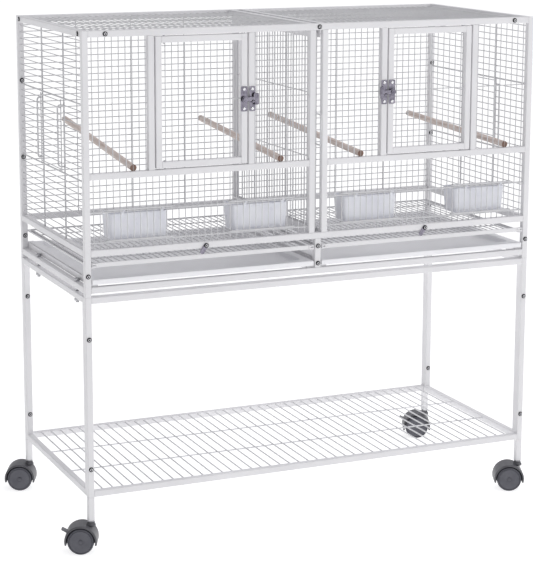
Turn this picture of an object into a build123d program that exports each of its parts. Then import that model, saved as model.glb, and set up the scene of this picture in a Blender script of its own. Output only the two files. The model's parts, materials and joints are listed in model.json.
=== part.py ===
"""Flight cage with two bays for small birds, on a stand with a wire shelf and four casters.

Millimetres, +Z up, the front faces -Y. The parts are drawn about the middle of the cage,
on the floor. keep() then shifts each one by the same small amount, so that the origin
lies on the floor under the middle of the whole outline, casters included.
"""
from build123d import *
import os

os.makedirs("parts", exist_ok=True)

# ---------------------------------------------------------------- driving dimensions
width = 930.0  # over the corner posts, left to right
depth = 410.0  # over the corner posts, front to back
cage_top = 967.0
tube = 12.0  # square steel tube of every frame
wall = 1.2  # its wall
wire = 1.0  # radius of the mesh wires
rod = 1.7  # radius of the thicker wires
pitch = 12.7  # mesh spacing
outline_shift = (16.4, -7.3, 0.0)  # cage middle, seen from the middle of the outline

# heights above the floor
leg_foot = 61.0
shelf_bottom = 106.0
stand_top = 484.0
base_bottom = 491.0
cage_bottom = 559.0
mid_rail_bottom = 699.0
cross_wire_z = 834.0
nest_sill_z = cross_wire_z - 11 * pitch

# front panels
center_gap = 14.0  # slot for the divider, between the two centre posts
door_width = 180.0
door_gap = 2.5  # between a door and its posts
hinge_inset = 18.0  # hinge pin from the door's edge
pin_r = 2.0
running = 0.05  # radial clearance of every turning fit

# feeder openings
feeder_sill_z = 583.0
feeder_head_z = 638.5
first_step = 4.5  # a feeder opening runs between these two mesh steps from the bay's middle
last_step = 14.5

# ---------------------------------------------------------------- derived places
half = tube / 2
post_x = width / 2 - half
post_y = depth / 2 - half
inner_x = width / 2 - tube
inner_y = depth / 2 - tube
cage_floor = cage_bottom + tube
mid_rail_top = mid_rail_bottom + tube
roof_z = cage_top - half
ceiling = cage_top - tube
base_top = base_bottom + tube
center_post_x = center_gap / 2 + half
panel_x0 = center_gap / 2 + tube
bay_x = (panel_x0 + inner_x) / 2
bay_half = (inner_x - panel_x0) / 2
door_post_inner = door_width / 2 + door_gap
door_post_outer = door_post_inner + tube
front_y = -depth / 2
mesh_y = -post_y
sides = (-1, 1)
steps = [k + 0.5 for k in range(17)]
panel_steps = [side * step for side in sides for step in steps]


# ---------------------------------------------------------------- helpers
def keep(label, *pieces):
    """Shift finished pieces to the object's origin and write them as one node."""
    solids = [solid for piece in pieces for solid in piece.solids()]
    node = Pos(*outline_shift) * (solids[0] if len(solids) == 1 else Compound(solids))
    node.label = label
    export_step(node, f"parts/{label}.step")


def box_tube(plane, length, across, along, cap=0.0):
    """Hollow tube extruded from the plane; a cap closes its far end."""
    with BuildPart() as piece:
        with BuildSketch(plane):
            Rectangle(across, along)
        extrude(amount=length)
        with BuildSketch(plane):
            Rectangle(across - 2 * wall, along - 2 * wall)
        extrude(amount=length - cap, mode=Mode.SUBTRACT)
    return piece.part


def tube_x(x0, x1, y, z, size_y=tube, size_z=tube):
    plane = Plane(origin=(x0, y, z), x_dir=(0, 1, 0), z_dir=(1, 0, 0))
    return box_tube(plane, x1 - x0, size_y, size_z)


def tube_y(y0, y1, x, z, size_x=tube, size_z=tube):
    plane = Plane(origin=(x, y0, z), x_dir=(1, 0, 0), z_dir=(0, 1, 0))
    return box_tube(plane, y1 - y0, size_x, size_z)


def tube_z(z0, z1, x, y, size_x=tube, size_y=tube, cap=0.0):
    return box_tube(Plane(origin=(x, y, z0)), z1 - z0, size_x, size_y, cap)


def rods(origin, x_dir, z_dir, length, offsets, radius):
    """Add parallel round wires, side by side along x_dir, to the part being built."""
    with BuildSketch(Plane(origin=origin, x_dir=x_dir, z_dir=z_dir)) as sections:
        with Locations(*[(offset, 0) for offset in offsets]):
            Circle(radius)
    extrude(sections.sketch, amount=length)


def wires_up(z0, z1, xs, y, radius=wire):
    rods((0, y, z0), (1, 0, 0), (0, 0, 1), z1 - z0, xs, radius)


def wires_up_side(z0, z1, x, ys, radius=wire):
    rods((x, 0, z0), (0, 1, 0), (0, 0, 1), z1 - z0, ys, radius)


def wires_across(x0, x1, y, zs, radius=wire):
    rods((x0, y, 0), (0, 0, 1), (1, 0, 0), x1 - x0, zs, radius)


def wires_back(y0, y1, xs, z, radius=wire):
    rods((0, y0, z), (1, 0, 0), (0, 1, 0), y1 - y0, xs, radius)


def wires_back_side(y0, y1, x, zs, radius=wire):
    rods((x, y0, 0), (0, 0, 1), (0, 1, 0), y1 - y0, zs, radius)


def flat_bar(x0, x1, y0, y1, z0, z1):
    """Plain rectangular bar between two corners."""
    with BuildPart() as piece:
        with BuildSketch(Plane(origin=((x0 + x1) / 2, (y0 + y1) / 2, z0))):
            Rectangle(abs(x1 - x0), abs(y1 - y0))
        extrude(amount=z1 - z0)
    return piece.part


def mirrored(piece):
    return mirror(piece, about=Plane.YZ)


# ---------------------------------------------------------------- screws and bolts
screw_head_r = 4.5
screw_head_h = 2.2
screw_shank_r = 2.0
screw_depth = 8.0
swing_latch_x = (half + inner_x) / 2
swing_latch_z = cage_bottom + 5.0
swing_latch_t = 1.6
screws_front = [(side * post_x, front_y, z) for side in sides for z in (160.0, 406.0, 523.5)]
screws_front += [(0, front_y, 511.5), (0, front_y, 545.0), (0, front_y, roof_z)]
screws_front += [(side * 421.0, front_y, roof_z) for side in sides]
screws_front += [(side * post_x, depth / 2 - 20.0, z) for side in sides for z in (160.0, 406.0)]
side_rows = (nest_sill_z - pitch / 2, cross_wire_z + pitch / 2)  # between two mesh wires
screws_front += [(side * post_x, inner_y, z) for side in sides for z in (529.0, *side_rows)]
screws_side = [
    (side * width / 2, y, roof_z) for side in sides for y in (-183.0, 183.0)
]


def screw(plane, standoff=0.0):
    """Button-head socket screw seated on a face, standoff mm above it."""
    with BuildPart() as piece:
        with BuildSketch(plane.offset(standoff)):
            Circle(screw_head_r)
        extrude(amount=screw_head_h)
        fillet(piece.faces().sort_by(Axis(plane.origin, plane.z_dir))[-1].edges(), 1.2)
        with BuildSketch(plane.offset(standoff + screw_head_h)):
            RegularPolygon(1.8, 6)
        extrude(amount=-1.3, mode=Mode.SUBTRACT)
        with BuildSketch(plane.offset(standoff)):
            Circle(screw_shank_r)
        extrude(amount=-(screw_depth + standoff))
    return piece.part


def facing_front(x, y, z):
    return Plane(origin=(x, y, z), x_dir=(1, 0, 0), z_dir=(0, -1, 0))


def facing_side(x, y, z):
    return Plane(origin=(x, y, z), x_dir=(0, 1, 0), z_dir=(1 if x > 0 else -1, 0, 0))


frame_screws = [screw(facing_front(*place)) for place in screws_front]
frame_screws += [screw(facing_side(*place)) for place in screws_side]
frame_screws += [
    screw(facing_front(side * swing_latch_x, front_y, swing_latch_z), swing_latch_t + 0.4)
    for side in sides
]
shanks = Compound([solid for piece in frame_screws for solid in piece.solids()])


def drilled(piece):
    """The piece with a hole for each screw that enters it."""
    return piece - shanks


stand_bolt_r = 3.0
stand_bolts = []
for side in sides:
    for y in (-139.0, 103.5):
        with BuildPart() as bolt:
            with BuildSketch(Plane(origin=(side * post_x, y, stand_top - tube - 9.0))):
                Circle(stand_bolt_r)
            extrude(amount=base_top + 0.5 - (stand_top - tube - 9.0))
            with BuildSketch(Plane(origin=(side * post_x, y, base_top))):
                Circle(5.0)
            extrude(amount=6.0)
            fillet(bolt.edges().group_by(Axis.Z)[-1], 1.0)
            with BuildSketch(Plane(origin=(side * post_x, y, base_top + 6.0))):
                RegularPolygon(2.5, 6)
            extrude(amount=-3.0, mode=Mode.SUBTRACT)
            with BuildSketch(Plane(origin=(side * post_x, y, stand_top - tube - 6.0))):
                RegularPolygon(5.8, 6)
            extrude(amount=6.0)
        stand_bolts.append(bolt.part)
bolt_shafts = Compound([solid for piece in stand_bolts for solid in piece.solids()])

keep("frame_screws", *frame_screws)
keep("stand_bolts", *stand_bolts)

# ---------------------------------------------------------------- stand
leg_depth = 20.0
leg_y = depth / 2 - leg_depth / 2
stand_rail_z = stand_top - half
shelf_z = shelf_bottom + half
corners = [(sx, sy) for sx in sides for sy in sides]

keep(
    "stand_legs",
    *[
        drilled(tube_z(shelf_bottom, stand_top, sx * post_x, sy * leg_y, tube, leg_depth))
        for sx, sy in corners
    ],
)
keep(
    "stand_top_rails",
    *[tube_x(-inner_x, inner_x, sy * leg_y, stand_rail_z, leg_depth) for sy in sides],
    *[
        tube_y(leg_depth - depth / 2, depth / 2 - leg_depth, sx * post_x, stand_rail_z)
        - bolt_shafts
        for sx in sides
    ],
)
keep(
    "shelf_rails",
    *[tube_x(-inner_x, inner_x, sy * post_y, shelf_z) for sy in sides],
    *[
        tube_y(leg_depth - depth / 2, depth / 2 - leg_depth, sx * post_x, shelf_z)
        for sx in sides
    ],
)

shelf_wire = 1.5
shelf_wire_count = 44
shelf_wire_pitch = 2 * inner_x / (shelf_wire_count + 1)
shelf_wire_z = shelf_bottom + tube - shelf_wire - 0.5
with BuildPart() as shelf_grille:
    shelf_xs = [(k + 1) * shelf_wire_pitch - inner_x for k in range(shelf_wire_count)]
    wires_back(-inner_y, inner_y, shelf_xs, shelf_wire_z, shelf_wire)
    for y in (-inner_y / 3, inner_y / 3):
        wires_across(-inner_x, inner_x, y, [shelf_wire_z], shelf_wire)
keep("shelf_grille", shelf_grille.part)

keep(
    "caster_posts",
    *[tube_z(leg_foot, shelf_bottom, sx * post_x, sy * post_y) for sx, sy in corners],
)

# ---------------------------------------------------------------- casters
wheel_r = 25.0
trail = 18.0  # axle behind the swivel axis
trail_angle = 156.0  # all four trail the same way, to the left and a little back
web_half = 3.5
wheel_in = 4.2
wheel_out = 21.5
hood_half = 22.5
hood_in = 27.0
hood_out = 30.5
axle_r = 3.0
stem_r = 4.0
neck_r = 9.0
neck_bottom = 50.0
neck_top = 58.2
brake_angle = 28.0
brake_r = (hood_in + hood_out) / 2
brake_half = 6.0
caster_plane = Plane(origin=(trail, 0, wheel_r), x_dir=(1, 0, 0), z_dir=(0, -1, 0))


def on_axle(offset):
    """Plane across the axle, offset mm along it from the caster's middle."""
    return caster_plane.offset(offset)


def brake_seat():
    """Where the brake pedal turns, in the hood's cross-section."""
    return Vector(brake_r, 0).rotate(Axis.Z, brake_angle)


def caster_housing(braked):
    """Swivel body: neck, centre web with the axle bore, and the hood over both wheels."""
    with BuildPart() as piece:
        with BuildSketch(on_axle(-hood_half)):
            Circle(hood_out)
            Circle(hood_in, mode=Mode.SUBTRACT)
            with Locations((0, -hood_out - 7.0)):
                Rectangle(3 * hood_out, 2 * hood_out, mode=Mode.SUBTRACT)
        extrude(amount=2 * hood_half)
        with BuildSketch(on_axle(-web_half)):
            Circle(hood_in + 0.5)
            with Locations((0, -hood_out - 8.0)):
                Rectangle(3 * hood_out, 2 * hood_out, mode=Mode.SUBTRACT)
        extrude(amount=2 * web_half)
        with BuildSketch(Plane(origin=(0, 0, neck_bottom))):
            Circle(neck_r)
        extrude(amount=neck_top - neck_bottom)
        with BuildSketch(on_axle(-web_half)):
            Circle(axle_r + running)
        extrude(amount=2 * web_half, mode=Mode.SUBTRACT)
        with BuildSketch(Plane(origin=(0, 0, neck_bottom + 0.8))):
            Circle(stem_r + running)
        extrude(amount=neck_top - neck_bottom, mode=Mode.SUBTRACT)
        if braked:
            seat = brake_seat()
            with BuildSketch(on_axle(-brake_half - 0.5)):
                with Locations(Location((seat.X, seat.Y, 0), (0, 0, brake_angle))):
                    Rectangle(9.0, 9.0)
            extrude(amount=2 * brake_half + 1.0, mode=Mode.SUBTRACT)
            with BuildSketch(on_axle(-brake_half - 3.0)):
                with Locations((seat.X, seat.Y)):
                    Circle(1.2 + running)
            extrude(amount=2 * brake_half + 6.0, mode=Mode.SUBTRACT)
    return piece.part


def caster_wheels():
    """Two wheels pressed on one axle, which turns in the housing's web."""
    pieces = []
    for start in (wheel_in, -wheel_out):
        with BuildPart() as wheel:
            with BuildSketch(on_axle(start)):
                Circle(wheel_r)
            extrude(amount=wheel_out - wheel_in)
            fillet(wheel.edges(), 2.5)
            with BuildSketch(on_axle(start)):
                Circle(axle_r)
            extrude(amount=wheel_out - wheel_in, mode=Mode.SUBTRACT)
        pieces.append(wheel.part)
    with BuildPart() as axle:
        with BuildSketch(on_axle(-wheel_out)):
            Circle(axle_r)
        extrude(amount=2 * wheel_out)
    return pieces + [axle.part]


def caster_brake():
    """Foot pedal that rocks on two trunnions in the hood."""
    seat = brake_seat()
    tip = Vector(brake_r + 11.5, 0).rotate(Axis.Z, brake_angle)
    middle = (seat + tip) * 0.5
    with BuildPart() as piece:
        with BuildSketch(on_axle(-brake_half)):
            with Locations((seat.X, seat.Y)):
                Circle(2.6)
            with Locations(Location((middle.X, middle.Y, 0), (0, 0, brake_angle))):
                SlotOverall(16.0, 3.6)
        extrude(amount=2 * brake_half)
        with BuildSketch(on_axle(-brake_half - 2.5)):
            with Locations((seat.X, seat.Y)):
                Circle(1.2)
        extrude(amount=2 * brake_half + 5.0)
    return piece.part


caster_places = {
    "front_left": (-post_x, -post_y, True),
    "front_right": (post_x, -post_y, False),
    "back_left": (-post_x, post_y, False),
    "back_right": (post_x, post_y, True),
}
for name, (x, y, braked) in caster_places.items():
    place = Pos(x, y, 0) * Rot(0, 0, trail_angle)
    keep(f"caster_housing_{name}", place * caster_housing(braked))
    keep(f"caster_wheels_{name}", *[place * piece for piece in caster_wheels()])
    if braked:
        keep(f"caster_brake_{name}", place * caster_brake())

stems = []
for sx, sy in corners:
    with BuildPart() as stem:
        foot = Plane(origin=(sx * post_x, sy * post_y, neck_bottom + 1.0))
        with BuildSketch(foot):
            Circle(stem_r)
        extrude(amount=leg_foot + 30.0 - foot.origin.Z)
        with BuildSketch(foot.offset(neck_top + 0.3 - foot.origin.Z)):
            Circle(8.5)
        extrude(amount=leg_foot - neck_top - 0.3)
        with BuildSketch(foot.offset(leg_foot - foot.origin.Z)):
            Circle(half - wall)
        extrude(amount=30.0)
    stems.append(stem.part)
keep("caster_stems", *stems)

# ---------------------------------------------------------------- cage frame
hinge_x = bay_x + door_width / 2 - hinge_inset  # right door; the left door is its mirror
pin_overlap = 6.0
pin_past_bar = 2.0
door_bottom = mid_rail_top + 2.0
door_top = ceiling - 1.5
pins = []
for z0, z1 in (
    (mid_rail_top - pin_overlap, door_bottom + tube + pin_past_bar),
    (door_top - tube - pin_past_bar, ceiling + pin_overlap),
):
    with BuildPart() as pin:
        with BuildSketch(Plane(origin=(hinge_x, mesh_y, z0))):
            Circle(pin_r)
        extrude(amount=z1 - z0)
        chamfer(pin.edges(), 0.4)
    pins += [pin.part, mirrored(pin.part)]
keep("door_hinge_pins", *pins)
pin_holes = Compound([solid for piece in pins for solid in piece.solids()])

keep(
    "cage_corner_posts",
    *[
        drilled(tube_z(stand_top, cage_top, sx * post_x, sy * post_y, cap=1.5))
        for sx, sy in corners
    ],
)
keep(
    "cage_top_rails",
    *[drilled(tube_x(-inner_x, inner_x, sy * post_y, roof_z)) - pin_holes for sy in sides],
    *[drilled(tube_y(-inner_y, inner_y, sx * post_x, roof_z)) for sx in sides],
)
keep(
    "cage_bottom_rails",
    *[drilled(tube_x(-inner_x, inner_x, sy * post_y, cage_bottom + half)) for sy in sides],
    *[tube_y(-inner_y, inner_y, sx * post_x, cage_bottom + half) for sx in sides],
)
mid_rail = tube_x(panel_x0, inner_x, mesh_y, mid_rail_bottom + half) - pin_holes
keep(
    "front_panel_tubes",
    mid_rail,
    tube_x(-inner_x, -panel_x0, mesh_y, mid_rail_bottom + half) - pin_holes,
    *[tube_z(cage_floor, ceiling, side * center_post_x, mesh_y) for side in sides],
    *[
        tube_z(mid_rail_top, ceiling, side * (bay_x + edge * (door_post_inner + half)), mesh_y)
        for side in sides
        for edge in sides
    ],
)
keep(
    "cage_center_tubes",
    tube_z(cage_floor, ceiling, 0, post_y),
    *[tube_y(-inner_y, inner_y, side * center_post_x, roof_z) for side in sides],
)

# ---------------------------------------------------------------- cage base
base_z = base_bottom + half
keep(
    "base_frame",
    *[drilled(tube_x(-inner_x, inner_x, sy * post_y, base_z)) for sy in sides],
    *[tube_y(-inner_y, inner_y, sx * post_x, base_z) - bolt_shafts for sx in sides],
    tube_y(-inner_y, inner_y, 0, base_z),
    *[drilled(tube_z(base_top, cage_bottom, 0, sy * post_y)) for sy in sides],
)
runner_w = 14.0
ledge_w = 8.0
ledge_t = 2.5
ledge_z = 536.5
runner_y0 = -200.0
runner_y1 = 204.0
runners = []
for inner, outward in ((half, 1), (inner_x, -1)):
    tray_runner = flat_bar(
        inner, inner + outward * runner_w, runner_y0, runner_y1, base_top, base_top + tube
    )
    grate_ledge = flat_bar(
        inner, inner + outward * ledge_w, runner_y0, runner_y1, ledge_z, ledge_z + ledge_t
    )
    runners += [tray_runner, mirrored(tray_runner), grate_ledge, mirrored(grate_ledge)]
keep("base_runners", *runners)

# ---------------------------------------------------------------- mesh panels
side_zs = [cross_wire_z + pitch * k for k in range(-20, 10)]
nest_y0 = -75.0
nest_y1 = 58.0
nest_ys = (nest_y0, nest_y1)


def front_grille(middle):
    """Front mesh of one bay, cut into panels round the door and the feeder openings."""
    pieces = []
    for side in sides:
        with BuildPart() as beside_door:
            xs = [middle + side * step * pitch for step in steps if step * pitch > door_post_outer]
            ends = sorted((middle + side * door_post_outer, middle + side * bay_half))
            wires_up(mid_rail_top, ceiling, xs, mesh_y)
            wires_across(ends[0], ends[1], mesh_y, [cross_wire_z])
        pieces.append(beside_door.part)
    with BuildPart() as above_feeders:
        xs = [middle + step * pitch for step in panel_steps]
        wires_up(feeder_head_z, mid_rail_bottom, xs, mesh_y)
        wires_across(middle - bay_half, middle + bay_half, mesh_y, [feeder_head_z], rod)
    pieces.append(above_feeders.part)
    outer_end = last_step * pitch - wire
    inner_end = first_step * pitch + wire
    for low, high in ((-bay_half, -outer_end), (-inner_end, inner_end), (outer_end, bay_half)):
        with BuildPart() as column:
            xs = [middle + s * pitch for s in panel_steps if low < s * pitch < high]
            wires_up(cage_floor, feeder_head_z - rod, xs, mesh_y)
            wires_across(middle + low, middle + high, mesh_y, [feeder_sill_z], rod)
        pieces.append(column.part)
    for side in sides:
        low, high = sorted((side * inner_end, side * outer_end))
        with BuildPart() as below_feeder:
            xs = [middle + s * pitch for s in panel_steps if low < s * pitch < high]
            wires_up(cage_floor, feeder_sill_z, xs, mesh_y)
            wires_across(middle + low, middle + high, mesh_y, [feeder_sill_z], rod)
        pieces.append(below_feeder.part)
    return pieces


def side_grille(x):
    """Side mesh, cut into four panels round the nest-box opening."""
    above = [z for z in side_zs if z > cross_wire_z + 1]
    beside = [z for z in side_zs if nest_sill_z + 1 < z < cross_wire_z - 1]
    below = [z for z in side_zs if z < nest_sill_z - 1]
    pieces = []
    with BuildPart() as upper:
        wires_up_side(cross_wire_z, ceiling, x, nest_ys, rod)
        wires_back_side(-inner_y, inner_y, x, above)
        wires_back_side(-inner_y, inner_y, x, [cross_wire_z], rod)
    pieces.append(upper.part)
    with BuildPart() as lower:
        wires_up_side(cage_floor, nest_sill_z, x, nest_ys, rod)
        wires_back_side(-inner_y, inner_y, x, below)
        wires_back_side(-inner_y, inner_y, x, [nest_sill_z], rod)
    pieces.append(lower.part)
    for y0, y1, y in ((-inner_y, nest_y0, nest_y0), (nest_y1, inner_y, nest_y1)):
        with BuildPart() as beside_nest:
            wires_up_side(nest_sill_z + rod, cross_wire_z - rod, x, [y], rod)
            wires_back_side(y0, y1, x, beside)
        pieces.append(beside_nest.part)
    return pieces


keep("front_left_grille", *front_grille(-bay_x))
keep("front_right_grille", *front_grille(bay_x))
keep("left_side_grille", *side_grille(-post_x))
keep("right_side_grille", *side_grille(post_x))

back_panels = []
roof_panels = []
roof_cross_ys = [-123.0, -41.0, 41.0, 123.0]
for side in sides:
    ends = sorted((side * half, side * inner_x))
    with BuildPart() as back_panel:
        wires_across(ends[0], ends[1], post_y, side_zs)
        wires_up(cage_floor, ceiling, [side * x for x in (115.0, 230.0, 345.0)], post_y)
    back_panels.append(back_panel.part)
    ends = sorted((side * panel_x0, side * inner_x))
    with BuildPart() as roof_panel:
        wires_back(-inner_y, inner_y, [side * bay_x + s * pitch for s in panel_steps], roof_z)
        for y in roof_cross_ys:
            wires_across(ends[0], ends[1], y, [roof_z])
    roof_panels.append(roof_panel.part)
keep("back_grille", *back_panels)
keep("roof_grille", *roof_panels)

# ---------------------------------------------------------------- main doors
stile_x = door_width / 2 - half
door_cell_half = door_width / 2 - tube


def main_door():
    """Right-hand door: four tubes and its mesh, bored for the two hinge pins."""
    with BuildPart() as bores:
        with BuildSketch(Plane(origin=(hinge_x, mesh_y, door_bottom))):
            Circle(pin_r + running)
        extrude(amount=door_top - door_bottom)
    ends = (bay_x - door_cell_half, bay_x + door_cell_half)
    bars = [
        tube_x(ends[0], ends[1], mesh_y, z) - bores.part
        for z in (door_bottom + half, door_top - half)
    ]
    stiles = [
        tube_z(door_bottom, door_top, bay_x + side * stile_x, mesh_y, cap=1.5)
        for side in sides
    ]
    with BuildPart() as mesh:
        xs = [bay_x + s * pitch for s in panel_steps if abs(s * pitch) < door_cell_half]
        pin_tip = pin_past_bar + 1.0
        free = [x for x in xs if abs(x - hinge_x) > pin_r + wire + 1.0]
        near = [x for x in xs if x not in free]
        wires_up(door_bottom + tube, door_top - tube, free, mesh_y)
        if near:
            wires_up(
                door_bottom + tube + pin_tip, door_top - tube - pin_tip, near, mesh_y
            )
        wires_across(ends[0], ends[1], mesh_y, [cross_wire_z])
    return bars + stiles + [mesh.part]


right_door = main_door()
keep("door_right", *right_door)
keep("door_left", *[mirrored(piece) for piece in right_door])

# ---------------------------------------------------------------- door latches
latch_z = 833.0
plate_t = 1.6
door_edge = bay_x - door_width / 2  # free edge of the right door
plate_y = front_y - plate_t
pivot_x = door_edge + 7.0
pivot_r = 3.0
lever_y0 = front_y - 6.8
lever_t = 3.0
stud_x = door_edge - 9.0
stud_z = latch_z - 4.6
stud_r = 2.4
notch_gap = 1.0


def latch_plate(x0, x1):
    """Chrome plate on the front face, with two screw heads."""
    middle = (x0 + x1) / 2
    with BuildPart() as plate:
        with BuildSketch(facing_front(middle, front_y, latch_z)):
            RectangleRounded(x1 - x0, 46.0, 2.0)
        extrude(amount=plate_t)
    heads = []
    for z in (latch_z - 18.0, latch_z + 18.0):
        with BuildPart() as head:
            with BuildSketch(facing_front(middle, plate_y, z)):
                Circle(3.0)
            extrude(amount=1.6)
            fillet(head.edges().sort_by(Axis.Y)[0], 1.0)
        heads.append(head.part)
    return plate, heads


def door_side_latch():
    plate, heads = latch_plate(door_edge + 0.6, door_edge + 14.0)
    with BuildPart() as pivot:
        add(plate.part)
        with BuildSketch(facing_front(pivot_x, plate_y, latch_z)):
            Circle(pivot_r)
        extrude(amount=6.0)
        with BuildSketch(facing_front(pivot_x, plate_y - 5.4, latch_z)):
            Circle(4.8)
        extrude(amount=1.4)
    return [pivot.part] + heads


def post_side_latch():
    plate, heads = latch_plate(door_edge - 15.5, door_edge - 3.1)
    with BuildPart() as catch:
        add(plate.part)
        with BuildSketch(facing_front(stud_x, plate_y, stud_z)):
            Circle(stud_r)
        extrude(amount=6.5)
    return [catch.part] + heads


def latch_lever():
    """Lever on the door's pivot; its notch sits over the stud on the post."""
    with BuildPart() as lever:
        with BuildSketch(facing_front(pivot_x, lever_y0 + lever_t, latch_z)):
            Circle(6.0)
            with Locations(((stud_x - pivot_x) / 2, 0)):
                Rectangle(pivot_x - stud_x + 8.0, 8.0)
            with Locations((stud_x - pivot_x - 6.0, 0)):
                RectangleRounded(10.0, 22.0, 2.0)
        extrude(amount=lever_t)
        with BuildSketch(facing_front(stud_x, lever_y0 + lever_t, stud_z)):
            Circle(stud_r + notch_gap)
            with Locations((0, -4.0)):
                Rectangle(2 * (stud_r + notch_gap), 8.0)
        extrude(amount=lever_t, mode=Mode.SUBTRACT)
        with BuildSketch(facing_front(pivot_x, lever_y0 + lever_t, latch_z)):
            Circle(pivot_r + running)
        extrude(amount=lever_t, mode=Mode.SUBTRACT)
    return lever.part


door_latch = door_side_latch()
keep("latch_plate_right", *door_latch)
keep("latch_plate_left", *[mirrored(piece) for piece in door_latch])
catches = post_side_latch()
keep("latch_keepers", *catches, *[mirrored(piece) for piece in catches])
lever = latch_lever()
keep("latch_lever_right", lever)
keep("latch_lever_left", mirrored(lever))

# ---------------------------------------------------------------- divider
divider_rod = 2.0
divider_y0 = -190.0
divider_y1 = 188.0
divider_z0 = cage_floor + 4.0
divider_z1 = ceiling - 6.0
with BuildPart() as divider:
    ys = [divider_y0 + pitch * k for k in range(1, 29)]
    wires_up_side(divider_z0, divider_z1, 0, ys)
    wires_up_side(divider_z0 - divider_rod, divider_z1 + divider_rod, 0, [divider_y0], divider_rod)
    wires_up_side(divider_z0 - divider_rod, divider_z1 + divider_rod, 0, [divider_y1], divider_rod)
    wires_back_side(divider_y0, divider_y1, 0, [divider_z0, divider_z1], divider_rod)
    wires_back_side(divider_y0, divider_y1, 0, [mid_rail_top, cross_wire_z])
keep("divider_panel", divider.part)

handle_z0 = 739.0
handle_z1 = 797.0
handle_y = front_y - 8.0
handle_r = 1.5
with BuildPart() as handle:
    with BuildLine() as handle_path:
        FilletPolyline(
            (0, divider_y0 - divider_rod, handle_z0),
            (0, handle_y, handle_z0),
            (0, handle_y, handle_z1),
            (0, divider_y0 - divider_rod, handle_z1),
            radius=6.0,
        )
    with BuildSketch(Plane(origin=handle_path.line @ 0, z_dir=handle_path.line % 0)):
        Circle(handle_r)
    sweep()
keep("divider_handle", handle.part)

guide_t = 1.5
guide_x = center_gap / 2 - guide_t
guides = []
for z0, z1 in ((cage_bottom + 1.0, cage_floor + 7.0), (ceiling - 15.0, cage_top)):
    guide = flat_bar(guide_x, guide_x + guide_t, -inner_y, inner_y, z0, z1)
    guides += [guide, mirrored(guide)]
keep("divider_guides", *guides)

# ---------------------------------------------------------------- nest-box doors
nest_x = width / 2 - 1.8  # plane of the sliding door, outside the side mesh
loop_r = 1.5
loop_x = width / 2 + 5.0
loop_foot_x = post_x + wire + 0.6
loop_z0 = cross_wire_z - 10 * pitch
loop_z1 = cross_wire_z - pitch
with BuildPart() as nest_door:
    zs = [z - 6.0 for z in side_zs if nest_sill_z + 1 < z < cross_wire_z + 1]
    wires_back_side(nest_y0 + 4.0, nest_y1 - 4.0, nest_x, zs)
    wires_up_side(nest_sill_z + 2.0, cross_wire_z - 2.0, nest_x, (nest_y0 + 4.0, nest_y1 - 4.0))
keep("nest_door_right", nest_door.part)
keep("nest_door_left", mirrored(nest_door.part))

loops = []
for y, inward in ((nest_y0, 1), (nest_y1, -1)):
    with BuildPart() as loop:
        with BuildLine() as loop_path:
            FilletPolyline(
                (loop_foot_x, y - inward * 3.0, loop_z0),
                (loop_x, y + inward * 3.0, loop_z0),
                (loop_x, y + inward * 3.0, loop_z1),
                (loop_foot_x, y - inward * 3.0, loop_z1),
                radius=5.0,
            )
        with BuildSketch(Plane(origin=loop_path.line @ 0, z_dir=loop_path.line % 0)):
            Circle(loop_r)
        sweep()
    loops += [loop.part, mirrored(loop.part)]
keep("nest_door_guides", *loops)

# ---------------------------------------------------------------- feeder doors and cups
feeder_y = mesh_y - 4.0
feeder_half = (last_step - first_step) * pitch / 2
feeder_offset = (last_step + first_step) * pitch / 2
eyelet_r = 4.0
feeder_top_z = feeder_head_z + 4.0
feeder_bottom_z = feeder_sill_z + 3.2
cup_w = 114.0
cup_d = 50.0
cup_z0 = 585.0
cup_z1 = 634.0
cup_t = 1.8
hook_offset = 3 * pitch  # a cup's hooks from its middle
hook_w = 5.0


def feeder_door(middle):
    """Small mesh door whose four eyelets slide up the mesh wires beside the opening."""
    with BuildPart() as door:
        xs = [middle + pitch * k for k in range(-4, 5)]
        wires_up(feeder_bottom_z, feeder_top_z, xs, feeder_y)
        for z in (feeder_bottom_z, feeder_top_z):
            wires_across(middle - feeder_half, middle + feeder_half, feeder_y, [z], rod)
            with Locations(
                (middle - feeder_half, mesh_y, z), (middle + feeder_half, mesh_y, z)
            ):
                Torus(eyelet_r, wire)
    return door.part


def feed_cup(middle):
    """Open cup just inside the opening, hung on the wire above it by two hooks."""
    cup_y = mesh_y + 3.0 + cup_d / 2
    with BuildPart() as cup:
        with BuildSketch(Plane(origin=(middle, cup_y, cup_z0))):
            RectangleRounded(cup_w - 6.0, cup_d - 6.0, 6.0)
        with BuildSketch(Plane(origin=(middle, cup_y, cup_z1))):
            RectangleRounded(cup_w, cup_d, 7.0)
        loft()
        with BuildSketch(Plane(origin=(middle, cup_y, cup_z0 + cup_t))):
            RectangleRounded(cup_w - 6.0 - 2 * cup_t, cup_d - 6.0 - 2 * cup_t, 5.0)
        with BuildSketch(Plane(origin=(middle, cup_y, cup_z1))):
            RectangleRounded(cup_w - 2 * cup_t, cup_d - 2 * cup_t, 5.5)
        loft(mode=Mode.SUBTRACT)
        for x in (middle - hook_offset, middle + hook_offset):
            hook_start = (x + (pitch - hook_w) / 2, mesh_y, feeder_head_z)
            with BuildSketch(Plane(origin=hook_start, x_dir=(0, 1, 0), z_dir=(1, 0, 0))):
                Circle(3.2)
                Circle(1.9, mode=Mode.SUBTRACT)
                with Locations((0, -5.0)):
                    Rectangle(10.0, 10.0, mode=Mode.SUBTRACT)
                with Locations((2.55, -5.0)):
                    Rectangle(1.3, 10.0)
            extrude(amount=hook_w)
    return cup.part


feeder_middles = {
    "outer_left": -bay_x - feeder_offset,
    "inner_left": -bay_x + feeder_offset,
    "inner_right": bay_x - feeder_offset,
    "outer_right": bay_x + feeder_offset,
}
for name, middle in feeder_middles.items():
    keep(f"feeder_door_{name}", feeder_door(middle))
    keep(f"feed_cup_{name}", feed_cup(middle))

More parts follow.
